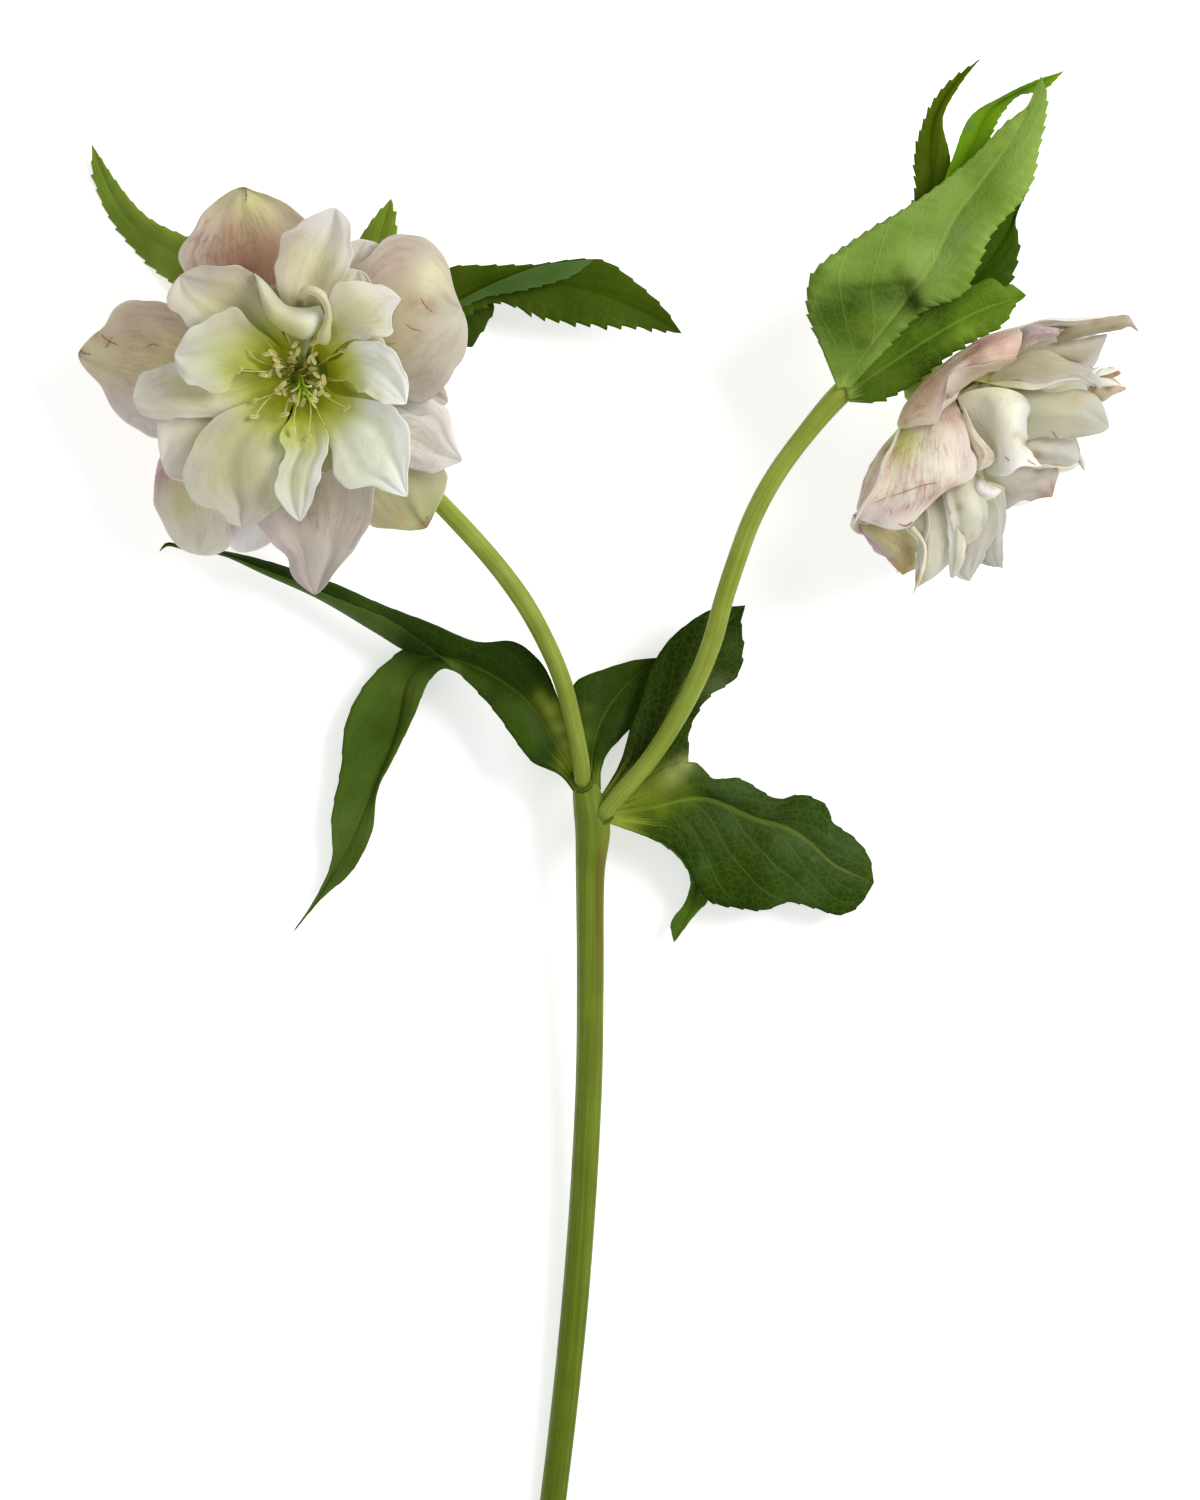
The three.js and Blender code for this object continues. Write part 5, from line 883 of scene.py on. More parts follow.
def rim_ripple(rng, u, v, sines):
    """Sines from foot to tip, given as pitch and height, out of step on the two rims."""
    ripple = 0
    for pitch, height in sines:
        shift = rng.uniform(0, math.tau), rng.uniform(0, math.tau)
        ripple = ripple + height * np.sin(math.tau * pitch * u + np.where(v > 0, *shift))
    return ripple


def waves(rng, u, v, half, scale=1.0):
    """Soft folds along a petal and a ripple along its rims, different on each petal."""
    folds = 0
    for pitch, share in ((1.4, 0.7), (2.7, 0.45), (4.6, 0.22)):
        phase = math.pi * pitch * v + rng.uniform(0, math.tau) + rng.uniform(-2.2, 2.2) * u
        folds = folds + share * np.sin(phase)
    frill = rim_ripple(rng, u, v, ((1.9, 0.6), (4.1, 0.4)))
    folds = sizes().petal_folds / MILLIMETRE * folds * smooth(0.1, 0.45, u)
    frill = sizes().petal_frill / MILLIMETRE * frill * v ** 2 * smooth(0.2, 0.6, u)
    return scale * (folds + frill) * np.minimum(1, half / 4)


def ragged(grid, rng):
    """The grid with small uneven waves in the outline of its rims."""
    u, v = shares(grid)
    out = grid[:, -1:] - grid[:, :1]
    width = np.linalg.norm(out, axis=-1, keepdims=True)
    size = rim_ripple(rng, u, v, ((2.7, 0.4), (5.9, 0.28), (9.7, 0.16)))
    size = size * v ** 3 * smooth(0.2, 0.5, u) * smooth(0, 0.12, 1 - u)
    return grid + size[..., None] * unit(out) * np.minimum(1, width / 12)


def bloom_axes(bloom):
    """The foot of a bloom, and its three directions as columns."""
    at, axis, zero = (np.array(x, float) for x in bloom)
    ez = unit(axis)
    ex = unit(zero - zero.dot(ez) * ez)
    return at, np.stack([ex, np.cross(ez, ex), ez], axis=1)


def rib_profile(foot, reach, height, rise, end):
    """Radius and height along a petal's rib, from its foot to its tip."""
    start, tip = np.array(foot, float), np.array([reach, height], float)
    arm = RIB_ARM * np.linalg.norm(tip - start)
    a, b = math.radians(rise), math.radians(end)
    p1 = start + arm * np.array([math.cos(a), math.sin(a)])
    p2 = tip - arm * np.array([math.cos(b), math.sin(b)])
    t = np.linspace(0, 1, 60)[:, None]
    return (1 - t) ** 3 * start + 3 * t * (1 - t) ** 2 * p1 + 3 * t * t * (1 - t) * p2 + t ** 3 * tip


def lay_on_bloom(plan, profile, bloom):
    """Gives points on the plan the height at which the petal passes over them."""
    at, axes = bloom_axes(bloom)
    radius, height = profile.T
    slope = (height[-1] - height[-4]) / max(radius[-1] - radius[-4], 0.2)
    back = np.linalg.inv(axes[:2, :2])
    h = np.full(plan.shape[:-1], height.mean())
    for _ in range(8):
        local = (plan - at[:2] - h[..., None] * axes[:2, 2]) @ back.T
        r = np.linalg.norm(local, axis=-1)
        beyond = np.clip(slope, -STEEPEST, STEEPEST) * np.maximum(r - radius[-1], 0)
        h = np.interp(r, radius, height) + beyond
    return at + local[..., :1] * axes[:, 0] + local[..., 1:] * axes[:, 1] + h[..., None] * axes[:, 2]


def drawn_petal(outline, foot, rng):
    """A petal of the open bloom, from its two edges and rib on the plan."""
    (*bend, cup), tip, lines = outline
    axis_spot = np.array(OPEN_AXIS_SPOT)
    out = unit(np.array(lines[1][0], float) - axis_spot)
    side = np.array([-out[1], out[0]])
    turn = 1 if (np.array(lines[0][0], float) - axis_spot).dot(side) > 0 else -1
    centre = axis_spot + foot[0] * out
    starts = [centre + turn * CLAW * side, centre, centre - turn * CLAW * side]
    grid = grid_through([[start, *line, tip] for start, line in zip(starts, lines)], *PETAL_CELLS)
    laid = lay_on_bloom(ragged(grid, rng), rib_profile(foot, *bend), OPEN_BLOOM)
    u, v = shares(grid)
    half = np.linalg.norm(laid[:, 0] - laid[:, -1], axis=-1)[:, None] / 2
    lift = half * math.radians(cup) / 2 * v ** 2 + waves(rng, u, v, half)
    return laid + lift[..., None] * bloom_axes(OPEN_BLOOM)[1][:, 2]


def formed_petal(values, foot, bloom, rng):
    """A petal from its azimuth, reach, height, width and the bend of its rib."""
    azimuth, reach, height, width, rise, end, cup, point = values
    rows, columns = SIDE_CELLS
    u = 1 - (1 - np.linspace(0, 1, rows + 1)) ** TIP_CROWDING
    centre = along_line(rib_profile(foot, reach, height, rise, end), u)
    heading = unit(np.gradient(centre, axis=0))
    quarter = math.pi / 2
    swell = np.where(u < BELLY, np.sin(quarter * np.minimum(u / BELLY, 1)) ** 0.9,
                     np.maximum(np.cos(quarter * (u - BELLY) / (1 - BELLY)), 0) ** point)
    half = (width / 2 * swell + CLAW * (1 - u) ** 2)[:, None]
    half[-1] = 0
    v = np.linspace(-1, 1, columns + 1)[None]
    bow = math.radians(cup)
    side = half * np.sin(v * bow) / bow
    lift = half * (1 - np.cos(v * bow)) / bow + waves(rng, u[:, None], v, half)
    local = np.stack([
        centre[:, :1] - lift * heading[:, 1:], side, centre[:, 1:] + lift * heading[:, :1]], axis=-1)
    a = math.radians(azimuth)
    turn = np.array([[math.cos(a), -math.sin(a), 0], [math.sin(a), math.cos(a), 0], [0, 0, 1]])
    at, axes = bloom_axes(bloom)
    return at + local @ turn.T @ axes.T


def folded(grid, rng):
    """The grid with soft folds and a rippled rim, raised along its own normals."""
    u, v = shares(grid)
    normal = unit(np.cross(np.gradient(grid, axis=0), np.gradient(grid, axis=1)))
    half = np.linalg.norm(grid[:, 0] - grid[:, -1], axis=-1)[:, None] / 2
    return grid + waves(rng, u, v, half, 0.5)[..., None] * normal


def leaf_grid(lobe, rng):
    """A toothed lobe: the teeth point forward, and the blade swells between its side veins."""
    length = np.linalg.norm(np.diff(np.array(lobe["lines"][0]), axis=0), axis=1).sum()
    teeth = max(4, round(length / lobe["pitch"]))
    rows = teeth * ROWS_PER_TOOTH
    left, rib, right = (curve_through(line, rows) for line in lobe["lines"])
    left[-1] = right[-1] = rib[-1]
    share = np.linspace(0, 1, rows + 1)
    phase = (np.arange(rows + 1) % ROWS_PER_TOOTH) / (ROWS_PER_TOOTH - 1)
    for edge, depth in zip((left, right), lobe["teeth"]):
        size = np.repeat([rng.uniform(0.45, 1.1) for _ in range(teeth + 1)], ROWS_PER_TOOTH)[:rows + 1]
        size *= depth * smooth(0.05, 0.2, share) * smooth(0, 0.06, 1 - share)
        way = TOOTH_OUT * unit(edge - rib) + TOOTH_AHEAD * unit(np.gradient(edge, axis=0))
        edge += way * (size * phase ** 1.5)[:, None]
    across = np.linspace(-1, 1, 2 * LEAF_COLUMNS + 1)
    near = np.abs(across)
    reach = np.where(across[None, :, None] < 0, left[:, None], right[:, None]) - rib[:, None]
    grid = rib[:, None] + reach * near[None, :, None]
    half = np.linalg.norm(reach, axis=-1)
    ridges = 1 - np.cos(math.tau * VEIN_PAIRS * (share[:, None] - VEIN_SWEEP * near[None]))
    swell = np.sin(math.pi * near)[None]
    grid[..., 2] += lobe.get("belly", LOBE_BELLY) * swell * np.sin(math.pi * share)[:, None]
    grid[..., 2] += VEIN_SWELL * half * swell * ridges * smooth(0.1, 0.3, share)[:, None]
    for start, end, width, height in lobe.get("creases", ()):
        grid[..., 2] += crease(grid, np.array(start, float), np.array(end, float), width, height)
    return grid


def crease(grid, start, end, width, height):
    """A fold across a blade: it rises slowly to the line on one side, and drops from it on the other."""
    length = np.linalg.norm(end - start)
    along = (end - start) / length
    flat = grid[..., :2] - start
    run = flat @ along / length
    off = flat @ np.array([-along[1], along[0]])
    rising = 0.45 * np.exp(-np.abs(off) / (2 * width))
    falling = 0.45 - 1.45 * smooth(0, CREASE_DROP, -off)
    below = -np.exp(-(np.abs(off) - CREASE_DROP) / width)
    shape = np.select([off > 0, off < -CREASE_DROP], [rising, below], falling)
    return height * shape * smooth(-0.15, 0.6, run) * smooth(1.08, 0.95, run)


# ---- meshes ----

def colour(code):
    """A hex colour as linear red, green and blue."""
    parts = [int(code[i:i + 2], 16) / 255 for i in (0, 2, 4)]
    return np.array([c / 12.92 if c <= 0.04045 else ((c + 0.055) / 1.055) ** 2.4 for c in parts])


def blend(a, b, share):
    """Colour a where the share is 0, and b where it is 1."""
    share = np.asarray(share, float)[..., None]
    return a * (1 - share) + b * share


def lattice(name, grid, tint, own, veins=1.0, lowest=0.0, extra=None):
    """A grid primitive laid over the points, with its own colour, number and depth of veins."""
    rows, columns = grid.shape[0] - 1, grid.shape[1] - 1
    bpy.ops.object.select_all(action="DESELECT")
    bpy.ops.mesh.primitive_grid_add(x_subdivisions=columns, y_subdivisions=rows, size=1)
    piece = bpy.context.object
    piece.name = name
    mesh = piece.data
    flat = np.empty(3 * len(mesh.vertices))
    mesh.vertices.foreach_get("co", flat)
    spot = flat.reshape(-1, 3)
    column = np.rint((spot[:, 0] + 0.5) * columns).astype(int)
    row = np.rint((spot[:, 1] + 0.5) * rows).astype(int)
    placed = (grid[row, column] + np.array(PLAN_ORIGIN)) * MILLIMETRE
    placed[:, 2] = np.maximum(placed[:, 2], lowest)
    mesh.vertices.foreach_set("co", placed.ravel())
    span = np.linalg.norm(np.diff(grid, axis=1), axis=-1).sum(axis=1).mean() / SPAN_UNIT
    numbers = {"own": own, "veins": veins, "span": span}
    for key, value in {"tint": tint, **numbers, **(extra or {})}.items():
        if np.ndim(value) in (1, 3):
            full = np.ones((len(spot), 4))
            full[:, :3] = np.broadcast_to(value, grid.shape)[row, column]
            mesh.attributes.new(key, "FLOAT_COLOR", "POINT").data.foreach_set("color", full.ravel())
        else:
            full = np.broadcast_to(np.asarray(value, float), grid.shape[:2])[row, column]
            mesh.attributes.new(key, "FLOAT", "POINT").data.foreach_set("value", full.ravel())
    return piece


def apply_modifier(piece, kind, **settings):
    """Applies a modifier to a piece."""
    bpy.context.view_layer.objects.active = piece
    modifier = piece.modifiers.new(kind.title(), kind)
    for key, value in settings.items():
        setattr(modifier, key, value)
    bpy.ops.object.modifier_apply(modifier=modifier.name)


def weld(piece):
    """Merges the points that meet at a tip or along a seam, and turns all faces outwards."""
    bpy.ops.object.select_all(action="DESELECT")
    piece.select_set(True)
    bpy.context.view_layer.objects.active = piece
    bpy.ops.object.mode_set(mode="EDIT")
    bpy.ops.mesh.select_all(action="SELECT")
    bpy.ops.mesh.remove_doubles(threshold=WELD_GAP)
    bpy.ops.mesh.normals_make_consistent(inside=False)
    bpy.ops.object.mode_set(mode="OBJECT")


def add_blade(name, grid, tint, thickness, own, veins, extra=None):
    """A thin closed blade over a grid."""
    piece = lattice(name, grid, tint, own, veins, thickness / 2, extra)
    weld(piece)
    apply_modifier(piece, "SOLIDIFY", thickness=thickness, offset=0, use_even_offset=False)
    bpy.ops.object.shade_smooth()
    return piece


def add_petal(name, grid, tint, rng, veins=1.0):
    """A petal or sepal over a grid, with soft bends between the grid's points."""
    piece = add_blade(name, grid, tint, sizes().petal_thickness, rng.random(), veins)
    apply_modifier(piece, "SUBSURF", levels=1, render_levels=1)
    return piece


def add_tube(name, path, radii, sides, tint, own=0.0, ribs=np.ones_like):
    """A closed tube along a path, with ribs round it. Its first and last rings close to a point.

    tint is one colour, one for each ring, or one for each point."""
    path = np.asarray(path, float)
    ahead = unit(np.gradient(path, axis=0))
    normal = np.cross(ahead[0], [0.31, 0.22, 0.92])
    angle = np.linspace(0, math.tau, sides + 1)
    rings = []
    for centre, direction, radius in zip(path, ahead, radii):
        normal = unit(normal - normal.dot(direction) * direction)
        other = np.cross(direction, normal)
        r = radius * ribs(angle)
        rings.append(centre + np.outer(np.cos(angle) * r, normal) + np.outer(np.sin(angle) * r, other))
    ends = [np.repeat(point[None], sides + 1, axis=0) for point in (path[0], path[-1])]
    if np.ndim(tint) > 1:
        tint = np.concatenate([tint[:1], tint, tint[-1:]])
    if np.ndim(tint) == 2:
        tint = tint[:, None]
    piece = lattice(name, np.array([ends[0], *rings, ends[1]]), tint, own)
    weld(piece)
    bpy.ops.object.shade_smooth()
    return piece


def join(pieces, name):
    """Joins pieces to one object and mesh of that name."""
    bpy.ops.object.select_all(action="DESELECT")
    for piece in pieces:
        piece.select_set(True)
    bpy.context.view_layer.objects.active = pieces[0]
    if len(pieces) > 1:
        bpy.ops.object.join()
    joined = bpy.context.object
    joined.name = joined.data.name = name
    return joined


def finish_piece(piece, material, node):
    """Gives a piece its material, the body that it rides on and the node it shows."""
    piece.data.materials.clear()
    piece.data.materials.append(material)
    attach(piece, "root")
    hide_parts(node)


# ---- materials ----

class Graph:
    """A material or group that is built node by node."""

    def __init__(self, tree):
        self.tree = tree
        self.tree.nodes.clear()

    def add(self, kind, inputs=None, **settings):
        """A node of this kind with its settings, fed with values or with other nodes."""
        node = self.tree.nodes.new(kind)
        for key, value in settings.items():
            setattr(node, key, value)
        for key, value in (inputs or {}).items():
            self.feed(node.inputs[key], value)
        return node

    def feed(self, socket, value):
        if isinstance(value, bpy.types.NodeSocket):
            self.tree.links.new(value, socket)
        else:
            socket.default_value = value

    def math(self, operation, *values):
        return self.add("ShaderNodeMath", dict(enumerate(values)), operation=operation).outputs[0]

    def times(self, a, b):
        return self.math("MULTIPLY", a, b)

    def plus(self, a, b):
        return self.math("ADD", a, b)

    def between(self, value, low, high, to_low=0.0, to_high=1.0):
        """A soft step from to_low to to_high as the value goes from low to high."""
        numbers = dict(enumerate((value, low, high, to_low, to_high)))
        node = self.add("ShaderNodeMapRange", numbers, interpolation_type="SMOOTHSTEP", clamp=True)
        return node.outputs[0]

    def mix(self, share, a, b, blend_type="MIX"):
        node = self.add("ShaderNodeMix", data_type="RGBA", blend_type=blend_type)
        for number, value in ((0, share), (6, a), (7, b)):
            self.feed(node.inputs[number], value)
        return node.outputs[2]

    def noise(self, place, scale, detail):
        node = self.add("ShaderNodeTexNoise", {"Vector": place, "Scale": scale, "Detail": detail})
        return node.outputs["Fac"]

    def net(self, place, scale, width):
        """Lines of this width between the cells of a net."""
        inputs = {"Vector": place, "Scale": scale}
        cells = self.add("ShaderNodeTexVoronoi", inputs, feature="DISTANCE_TO_EDGE")
        return self.between(cells.outputs["Distance"], 0.0, width, 1.0, 0.0)


def new_group(name, inputs, outputs):
    """An empty node group with these inputs and outputs."""
    tree = bpy.data.node_groups.new(name, "ShaderNodeTree")
    graph = Graph(tree)
    for title, kind in inputs.items():
        tree.interface.new_socket(title, in_out="INPUT", socket_type=kind)
    for title in outputs:
        tree.interface.new_socket(title, in_out="OUTPUT", socket_type="NodeSocketFloat")
    return graph, graph.add("NodeGroupInput").outputs, graph.add("NodeGroupOutput").inputs


def build_fibre_group():
    """Fine lines that run from foot to tip and fan out with the blade."""
    graph, source, sink = new_group("Fibre lines", {
        "UV": "NodeSocketVector", "Own": "NodeSocketFloat",
        "Across": "NodeSocketFloat", "Along": "NodeSocketFloat",
    }, ["Lines", "Broad", "Mesh"])
    parts = graph.add("ShaderNodeSeparateXYZ", {0: source["UV"]}).outputs
    shift = graph.times(source["Own"], 17.3)

    def stretched(across, along):
        x = graph.times(graph.times(parts[0], source["Across"]), across)
        y = graph.times(graph.times(parts[1], source["Along"]), along)
        return graph.add("ShaderNodeCombineXYZ", {0: x, 1: y, 2: shift}).outputs[0]

    for title, across, detail in (("Lines", 1.0, 3.0), ("Broad", 0.22, 1.0)):
        lines = graph.noise(stretched(across, 1.0), 1.0, detail)
        graph.feed(sink[title], graph.between(lines, 0.35, 0.68))
    graph.feed(sink["Mesh"], graph.net(stretched(0.6, 1.6), 1.0, 0.13))
    return graph.tree


def build_vein_group():
    """A leaf's rib, its swept side veins and the net between them."""
    graph, source, sink = new_group("Leaf veins", {
        "UV": "NodeSocketVector", "Place": "NodeSocketVector",
    }, ["Rib", "Side", "Net"])
    parts = graph.add("ShaderNodeSeparateXYZ", {0: source["UV"]}).outputs
    wander = graph.times(graph.math("SUBTRACT", graph.noise(source["Place"], 110.0, 1.0), 0.5), 0.048)
    off = graph.math("ABSOLUTE", graph.times(graph.math("SUBTRACT", parts[0], 0.5), 2.0))
    graph.feed(sink["Rib"], graph.between(off, 0.015, 0.075, 1.0, 0.0))
    swept = graph.math("SUBTRACT", parts[1], graph.times(off, VEIN_SWEEP))
    wave = graph.math("PINGPONG", graph.times(graph.plus(swept, wander), VEIN_PAIRS), 0.5)
    thin = graph.between(wave, 0.0, 0.07, 1.0, 0.0)
    graph.feed(sink["Side"], graph.times(thin, graph.between(off, 0.75, 1.0, 1.0, 0.2)))
    graph.feed(sink["Net"], graph.net(source["Place"], 620.0, 0.12))
    return graph.tree


class PlantGraph(Graph):
    """A soft shader, what the pieces carry, and cloudy patches of noise."""

    def __init__(self, name, light, cloud, spread=(0.3, 0.7)):
        """light: how much of it sinks in, how far, its colour in there, and the shine.
        cloud: the scale and detail of the patches."""
        self.material = bpy.data.materials.new(name)
        self.material.use_nodes = True
        super().__init__(self.material.node_tree)
        weight, reach, glow, shine = light
        self.shader = self.add("ShaderNodeBsdfPrincipled", {
            "Subsurface Weight": weight, "Subsurface Scale": reach, "Subsurface Radius": glow,
            "Specular IOR Level": shine})
        self.add("ShaderNodeOutputMaterial", {0: self.shader.outputs[0]})
        self.place = self.add("ShaderNodeTexCoord").outputs["Object"]
        self.uv = self.add("ShaderNodeUVMap", uv_map="UVMap").outputs[0]
        self.tint = self.carried("tint", "Color")
        self.patch = self.between(self.noise(self.place, *cloud), *spread)

    def carried(self, name, kind="Fac"):
        """A value or colour that the mesh carries on its points."""
        return self.add("ShaderNodeAttribute", attribute_name=name).outputs[kind]

    def fibres(self, across, along):
        inputs = {"UV": self.uv, "Own": self.carried("own"), "Across": across, "Along": along}
        tree = kept("fibre", build_fibre_group)
        return self.add_group(tree, inputs)

    def add_group(self, tree, inputs):
        node = self.add("ShaderNodeGroup", node_tree=tree)
        for title, value in inputs.items():
            self.feed(node.inputs[title], value)
        return node.outputs

    def stain(self, base, tone, share):
        """The base darkened by a tone, as far as the share goes."""
        return self.mix(share, base, (*tone, 1), "MULTIPLY")

    def finish(self, base, roughness, height, strength, distance):
        """Base colour, roughness from patch to patch, and a relief."""
        self.feed(self.shader.inputs["Base Color"], base)
        self.feed(self.shader.inputs["Roughness"], self.between(self.patch, 0.0, 1.0, *roughness))
        bump = self.add("ShaderNodeBump", {"Height": height, "Strength": strength, "Distance": distance})
        self.feed(self.shader.inputs["Normal"], bump.outputs[0])
        return self.material


def build_petal_material(name, line_tone):
    """Soft thin blades: a long-meshed net of fine veins over a cloudy ground."""
    graph = PlantGraph(name, (0.3, 0.0012, (1.0, 0.97, 0.88), 0.18), (120.0, 4.0))
    fibres = graph.fibres(graph.times(graph.carried("span"), 32.0), 6.0)
    parts = graph.add("ShaderNodeSeparateXYZ", {0: graph.uv}).outputs
    before_tip = graph.between(parts[1], 0.72, 1.0, 1.0, 0.15)
    lines = graph.times(fibres["Mesh"], graph.between(fibres["Lines"], 0.0, 0.8, 0.35, 1.0))
    lines = graph.math("MAXIMUM", lines, graph.times(fibres["Lines"], 0.6))
    lines = graph.times(graph.times(lines, graph.carried("veins")), 0.34)
    lines = graph.times(lines, graph.times(graph.between(graph.patch, 0.1, 0.9, 0.3, 1.0), before_tip))
    clouded = graph.stain(graph.tint, colour("dad9d5"), graph.times(graph.patch, 0.3))
    height = graph.plus(graph.times(fibres["Broad"], before_tip), graph.times(graph.patch, 0.6))
    return graph.finish(graph.stain(clouded, line_tone, lines), (0.5, 0.64), height, 0.2, 0.0003)


def build_leaf_material(name, shine, relief):
    """Leathery bracts: a pale foot that runs out along the fibres, fine veins and a mottled blade.

    relief is how far the veins stand out, or below zero how deep they lie."""
    graph = PlantGraph(name, (0.06, 0.0008, (0.6, 1.0, 0.2), shine), (100.0, 4.0))
    foot = graph.carried("foot", "Color")
    veins = graph.add_group(kept("vein", build_vein_group), {"UV": graph.uv, "Place": graph.place})
    fibres = graph.fibres(26.0, 1.2)
    toned = graph.stain(graph.tint, colour("bccb8c"), graph.times(graph.patch, 0.7))
    marks = graph.times(veins["Side"], 0.5)
    for title, share in (("Rib", 0.9), ("Net", 0.26)):
        marks = graph.math("MAXIMUM", marks, graph.times(veins[title], share))
    lighter = graph.mix(0.5, graph.tint, foot)
    toned = graph.mix(graph.times(marks, graph.carried("veins")), toned, lighter)
    streak = graph.times(graph.math("SUBTRACT", fibres["Lines"], 0.5), 0.5)
    streak = graph.between(graph.plus(graph.carried("pale"), streak), 0.35, 1.0)
    raised = graph.plus(veins["Side"], graph.times(veins["Net"], 0.35))
    raised = graph.plus(raised, graph.times(veins["Rib"], 1.5))
    height = graph.plus(graph.times(graph.patch, 0.6), graph.times(raised, relief))
    return graph.finish(graph.mix(streak, toned, foot), (0.44, 0.6), height, 0.3, 0.0003)


def build_stem_material():
    """A fleshy stem with fine lengthwise ridges."""
    graph = PlantGraph("Stem", (0.1, 0.0012, (0.8, 1.0, 0.3), 0.12), (140.0, 3.0))
    lines = graph.fibres(26.0, 5.0)["Lines"]
    toned = graph.stain(graph.tint, colour("c3cf8e"), graph.times(lines, 0.5))
    toned = graph.stain(toned, colour("c9bf86"), graph.times(graph.patch, 0.3))
    return graph.finish(toned, (0.36, 0.52), lines, 0.4, 0.0002)


def build_heart_material(name, roughness):
    """Anthers, filaments and styles: painted along their length and finely grained."""
    graph = PlantGraph(name, (0.15, 0.0006, (1.0, 0.9, 0.3), 0.25), (900.0, 2.0), (0.35, 0.65))
    toned = graph.stain(graph.tint, colour("cdbf8a"), graph.times(graph.patch, 0.35))
    return graph.finish(toned, (roughness - 0.1, roughness + 0.1), graph.patch, 0.4, 0.0001)


def build_floor_material():
    """A pale floor that glows a little, so that shadows on it stay faint."""
    material = bpy.data.materials.new("Paper floor")
    material.use_nodes = True
    graph = Graph(material.node_tree)
    shader = graph.add("ShaderNodeBsdfPrincipled", {
        "Base Color": (*paint("floor"), 1), "Roughness": 0.9,
        "Emission Color": (1, 1, 1, 1), "Emission Strength": 0.45})
    graph.add("ShaderNodeOutputMaterial", {0: shader.outputs[0]})
    return material


KEPT = {}


def kept(name, build, *values):
    """A material or group that is built the first time it is asked for."""
    if name not in KEPT:
        KEPT[name] = build(*values)
    return KEPT[name]


# ---- what is painted on the pieces ----

def from_axis(grid, bloom):
    """Distance of each point from the axis of its bloom."""
    at, axes = bloom_axes(bloom)
    return np.linalg.norm(((grid - at) @ axes)[..., :2], axis=-1)


def dab(tint, grid, marks):
    """Lays soft round marks of colour on a blade."""
    for x, y, radius, tone, strength in marks:
        far = np.hypot(grid[..., 0] - x, grid[..., 1] - y)
        tint = blend(tint, colour(tone), strength * np.exp(-(far / radius) ** 2))
    return tint


def blade_tint(grid, tones):
    """A blade's colour: its middle, its tip and its two rims run into one another."""
    middle, tip, first, last = map(colour, tones.split())
    u, v = shares(grid)
    tone = blend(blend(middle, first, smooth(0.25, 0.85, -v)), last, smooth(0.25, 0.85, v))
    return blend(tone, tip, smooth(0.6, 0.95, u))


def petal_tint(grid, tones, green):
    """Green at the foot, where green is 0, painted lighter there to lift the shade deep in the bloom, then
    the blade's own colours.
    """
    tone = blend(paint("petal_glow"), blade_tint(grid, tones), smooth(0.45, 1.0, green))
    return blend(paint("lit_petal_foot"), tone, smooth(0.0, 0.6, green))


def side_petal_tint(grid, tones):
    """A petal of the side bloom, with a trace of green at its foot."""
    return petal_tint(grid, tones, 0.8 + 0.2 * smooth(0.0, 0.3, shares(grid)[0]))


def back_petal_tint(grid, tones):
    """A petal at the back of the side bloom, greener at its foot."""
    return petal_tint(grid, tones, 0.35 + 0.65 * smooth(0.0, 0.7, shares(grid)[0]))


def leaf_tint(grid, lobe):
    """A lobe's colour, lighter at its rims and tip, and where its under side shows."""
    u, v = shares(grid)
    lighter = 0.12 * smooth(0.6, 1.0, np.abs(v)) + 0.1 * smooth(0.6, 1.0, u)
    tone = colour(lobe["body"]) * (1 + lighter)[..., None]
    if "under" in lobe:
        side, start, under = lobe["under"]
        shown = smooth(0.0, 0.12, side * v) * smooth(start - 0.04, start + 0.04, u)
        tone = blend(tone, colour(under), shown)
    return tone


def stem_tint(along, angle):
    """Darker towards the cut, with a red-brown streak up one side."""
    green = blend(paint("stem_green"), colour("5f7212"), 1 - smooth(0.0, 0.9, along))
    red = smooth(0.92, 0.995, np.cos(angle - 5.12)) * smooth(0.6, 0.86, along)
    return blend(green, colour("6a5420"), 0.75 * red * smooth(0.05, 0.12, 1 - along))


def stalk_tint(along, _):
    """Lighter towards the bloom, and the same all round."""
    return blend(colour("8a9a3c"), colour("9aa848"), smooth(0.1, 0.7, along))


# ---- parts of the stem and of the blooms ----

def stem_ribs(angle):
    """Ribs round the stem, as a factor on its radius."""
    return 1 + 0.022 * np.cos(9 * angle) + 0.012 * np.cos(17 * angle + 1)


def two_lobes(angle):
    """The two lobes of an anther, as a factor on its radius."""
    return 0.86 + 0.2 * np.cos(2 * angle)


def add_stalk(name, stations, rings, sides, tinted, own):
    """A ribbed stem or stalk through stations of place and radius."""
    line = curve_through(stations, rings)
    along = np.linspace(0, 1, rings + 1)[:, None]
    tint = tinted(along, np.linspace(0, math.tau, sides + 1)[None])
    return add_tube(name, line[:, :3], line[:, 3], sides, tint, own, stem_ribs)


def add_button(name, bloom, stations, tone):
    """A turned button on a bloom's axis, through stations of height and radius."""
    at, axes = bloom_axes(bloom)
    heights, radii = zip(*stations)
    return add_tube(name, at + np.outer(heights, axes[:, 2]), radii, BUTTON_SIDES, tone)


def surface_height(grids, spot):
    """How high the topmost of some blades lies at a place on the plan."""
    heights = []
    for grid in grids:
        points = grid.reshape(-1, 3)
        far = np.linalg.norm(points[:, :2] - spot, axis=1)
        near = np.argsort(far)[:4]
        if far[near[0]] < SPOT_NEARNESS:
            heights.append(np.average(points[near, 2], weights=1 / (far[near] + 0.05)))
    return max(heights)


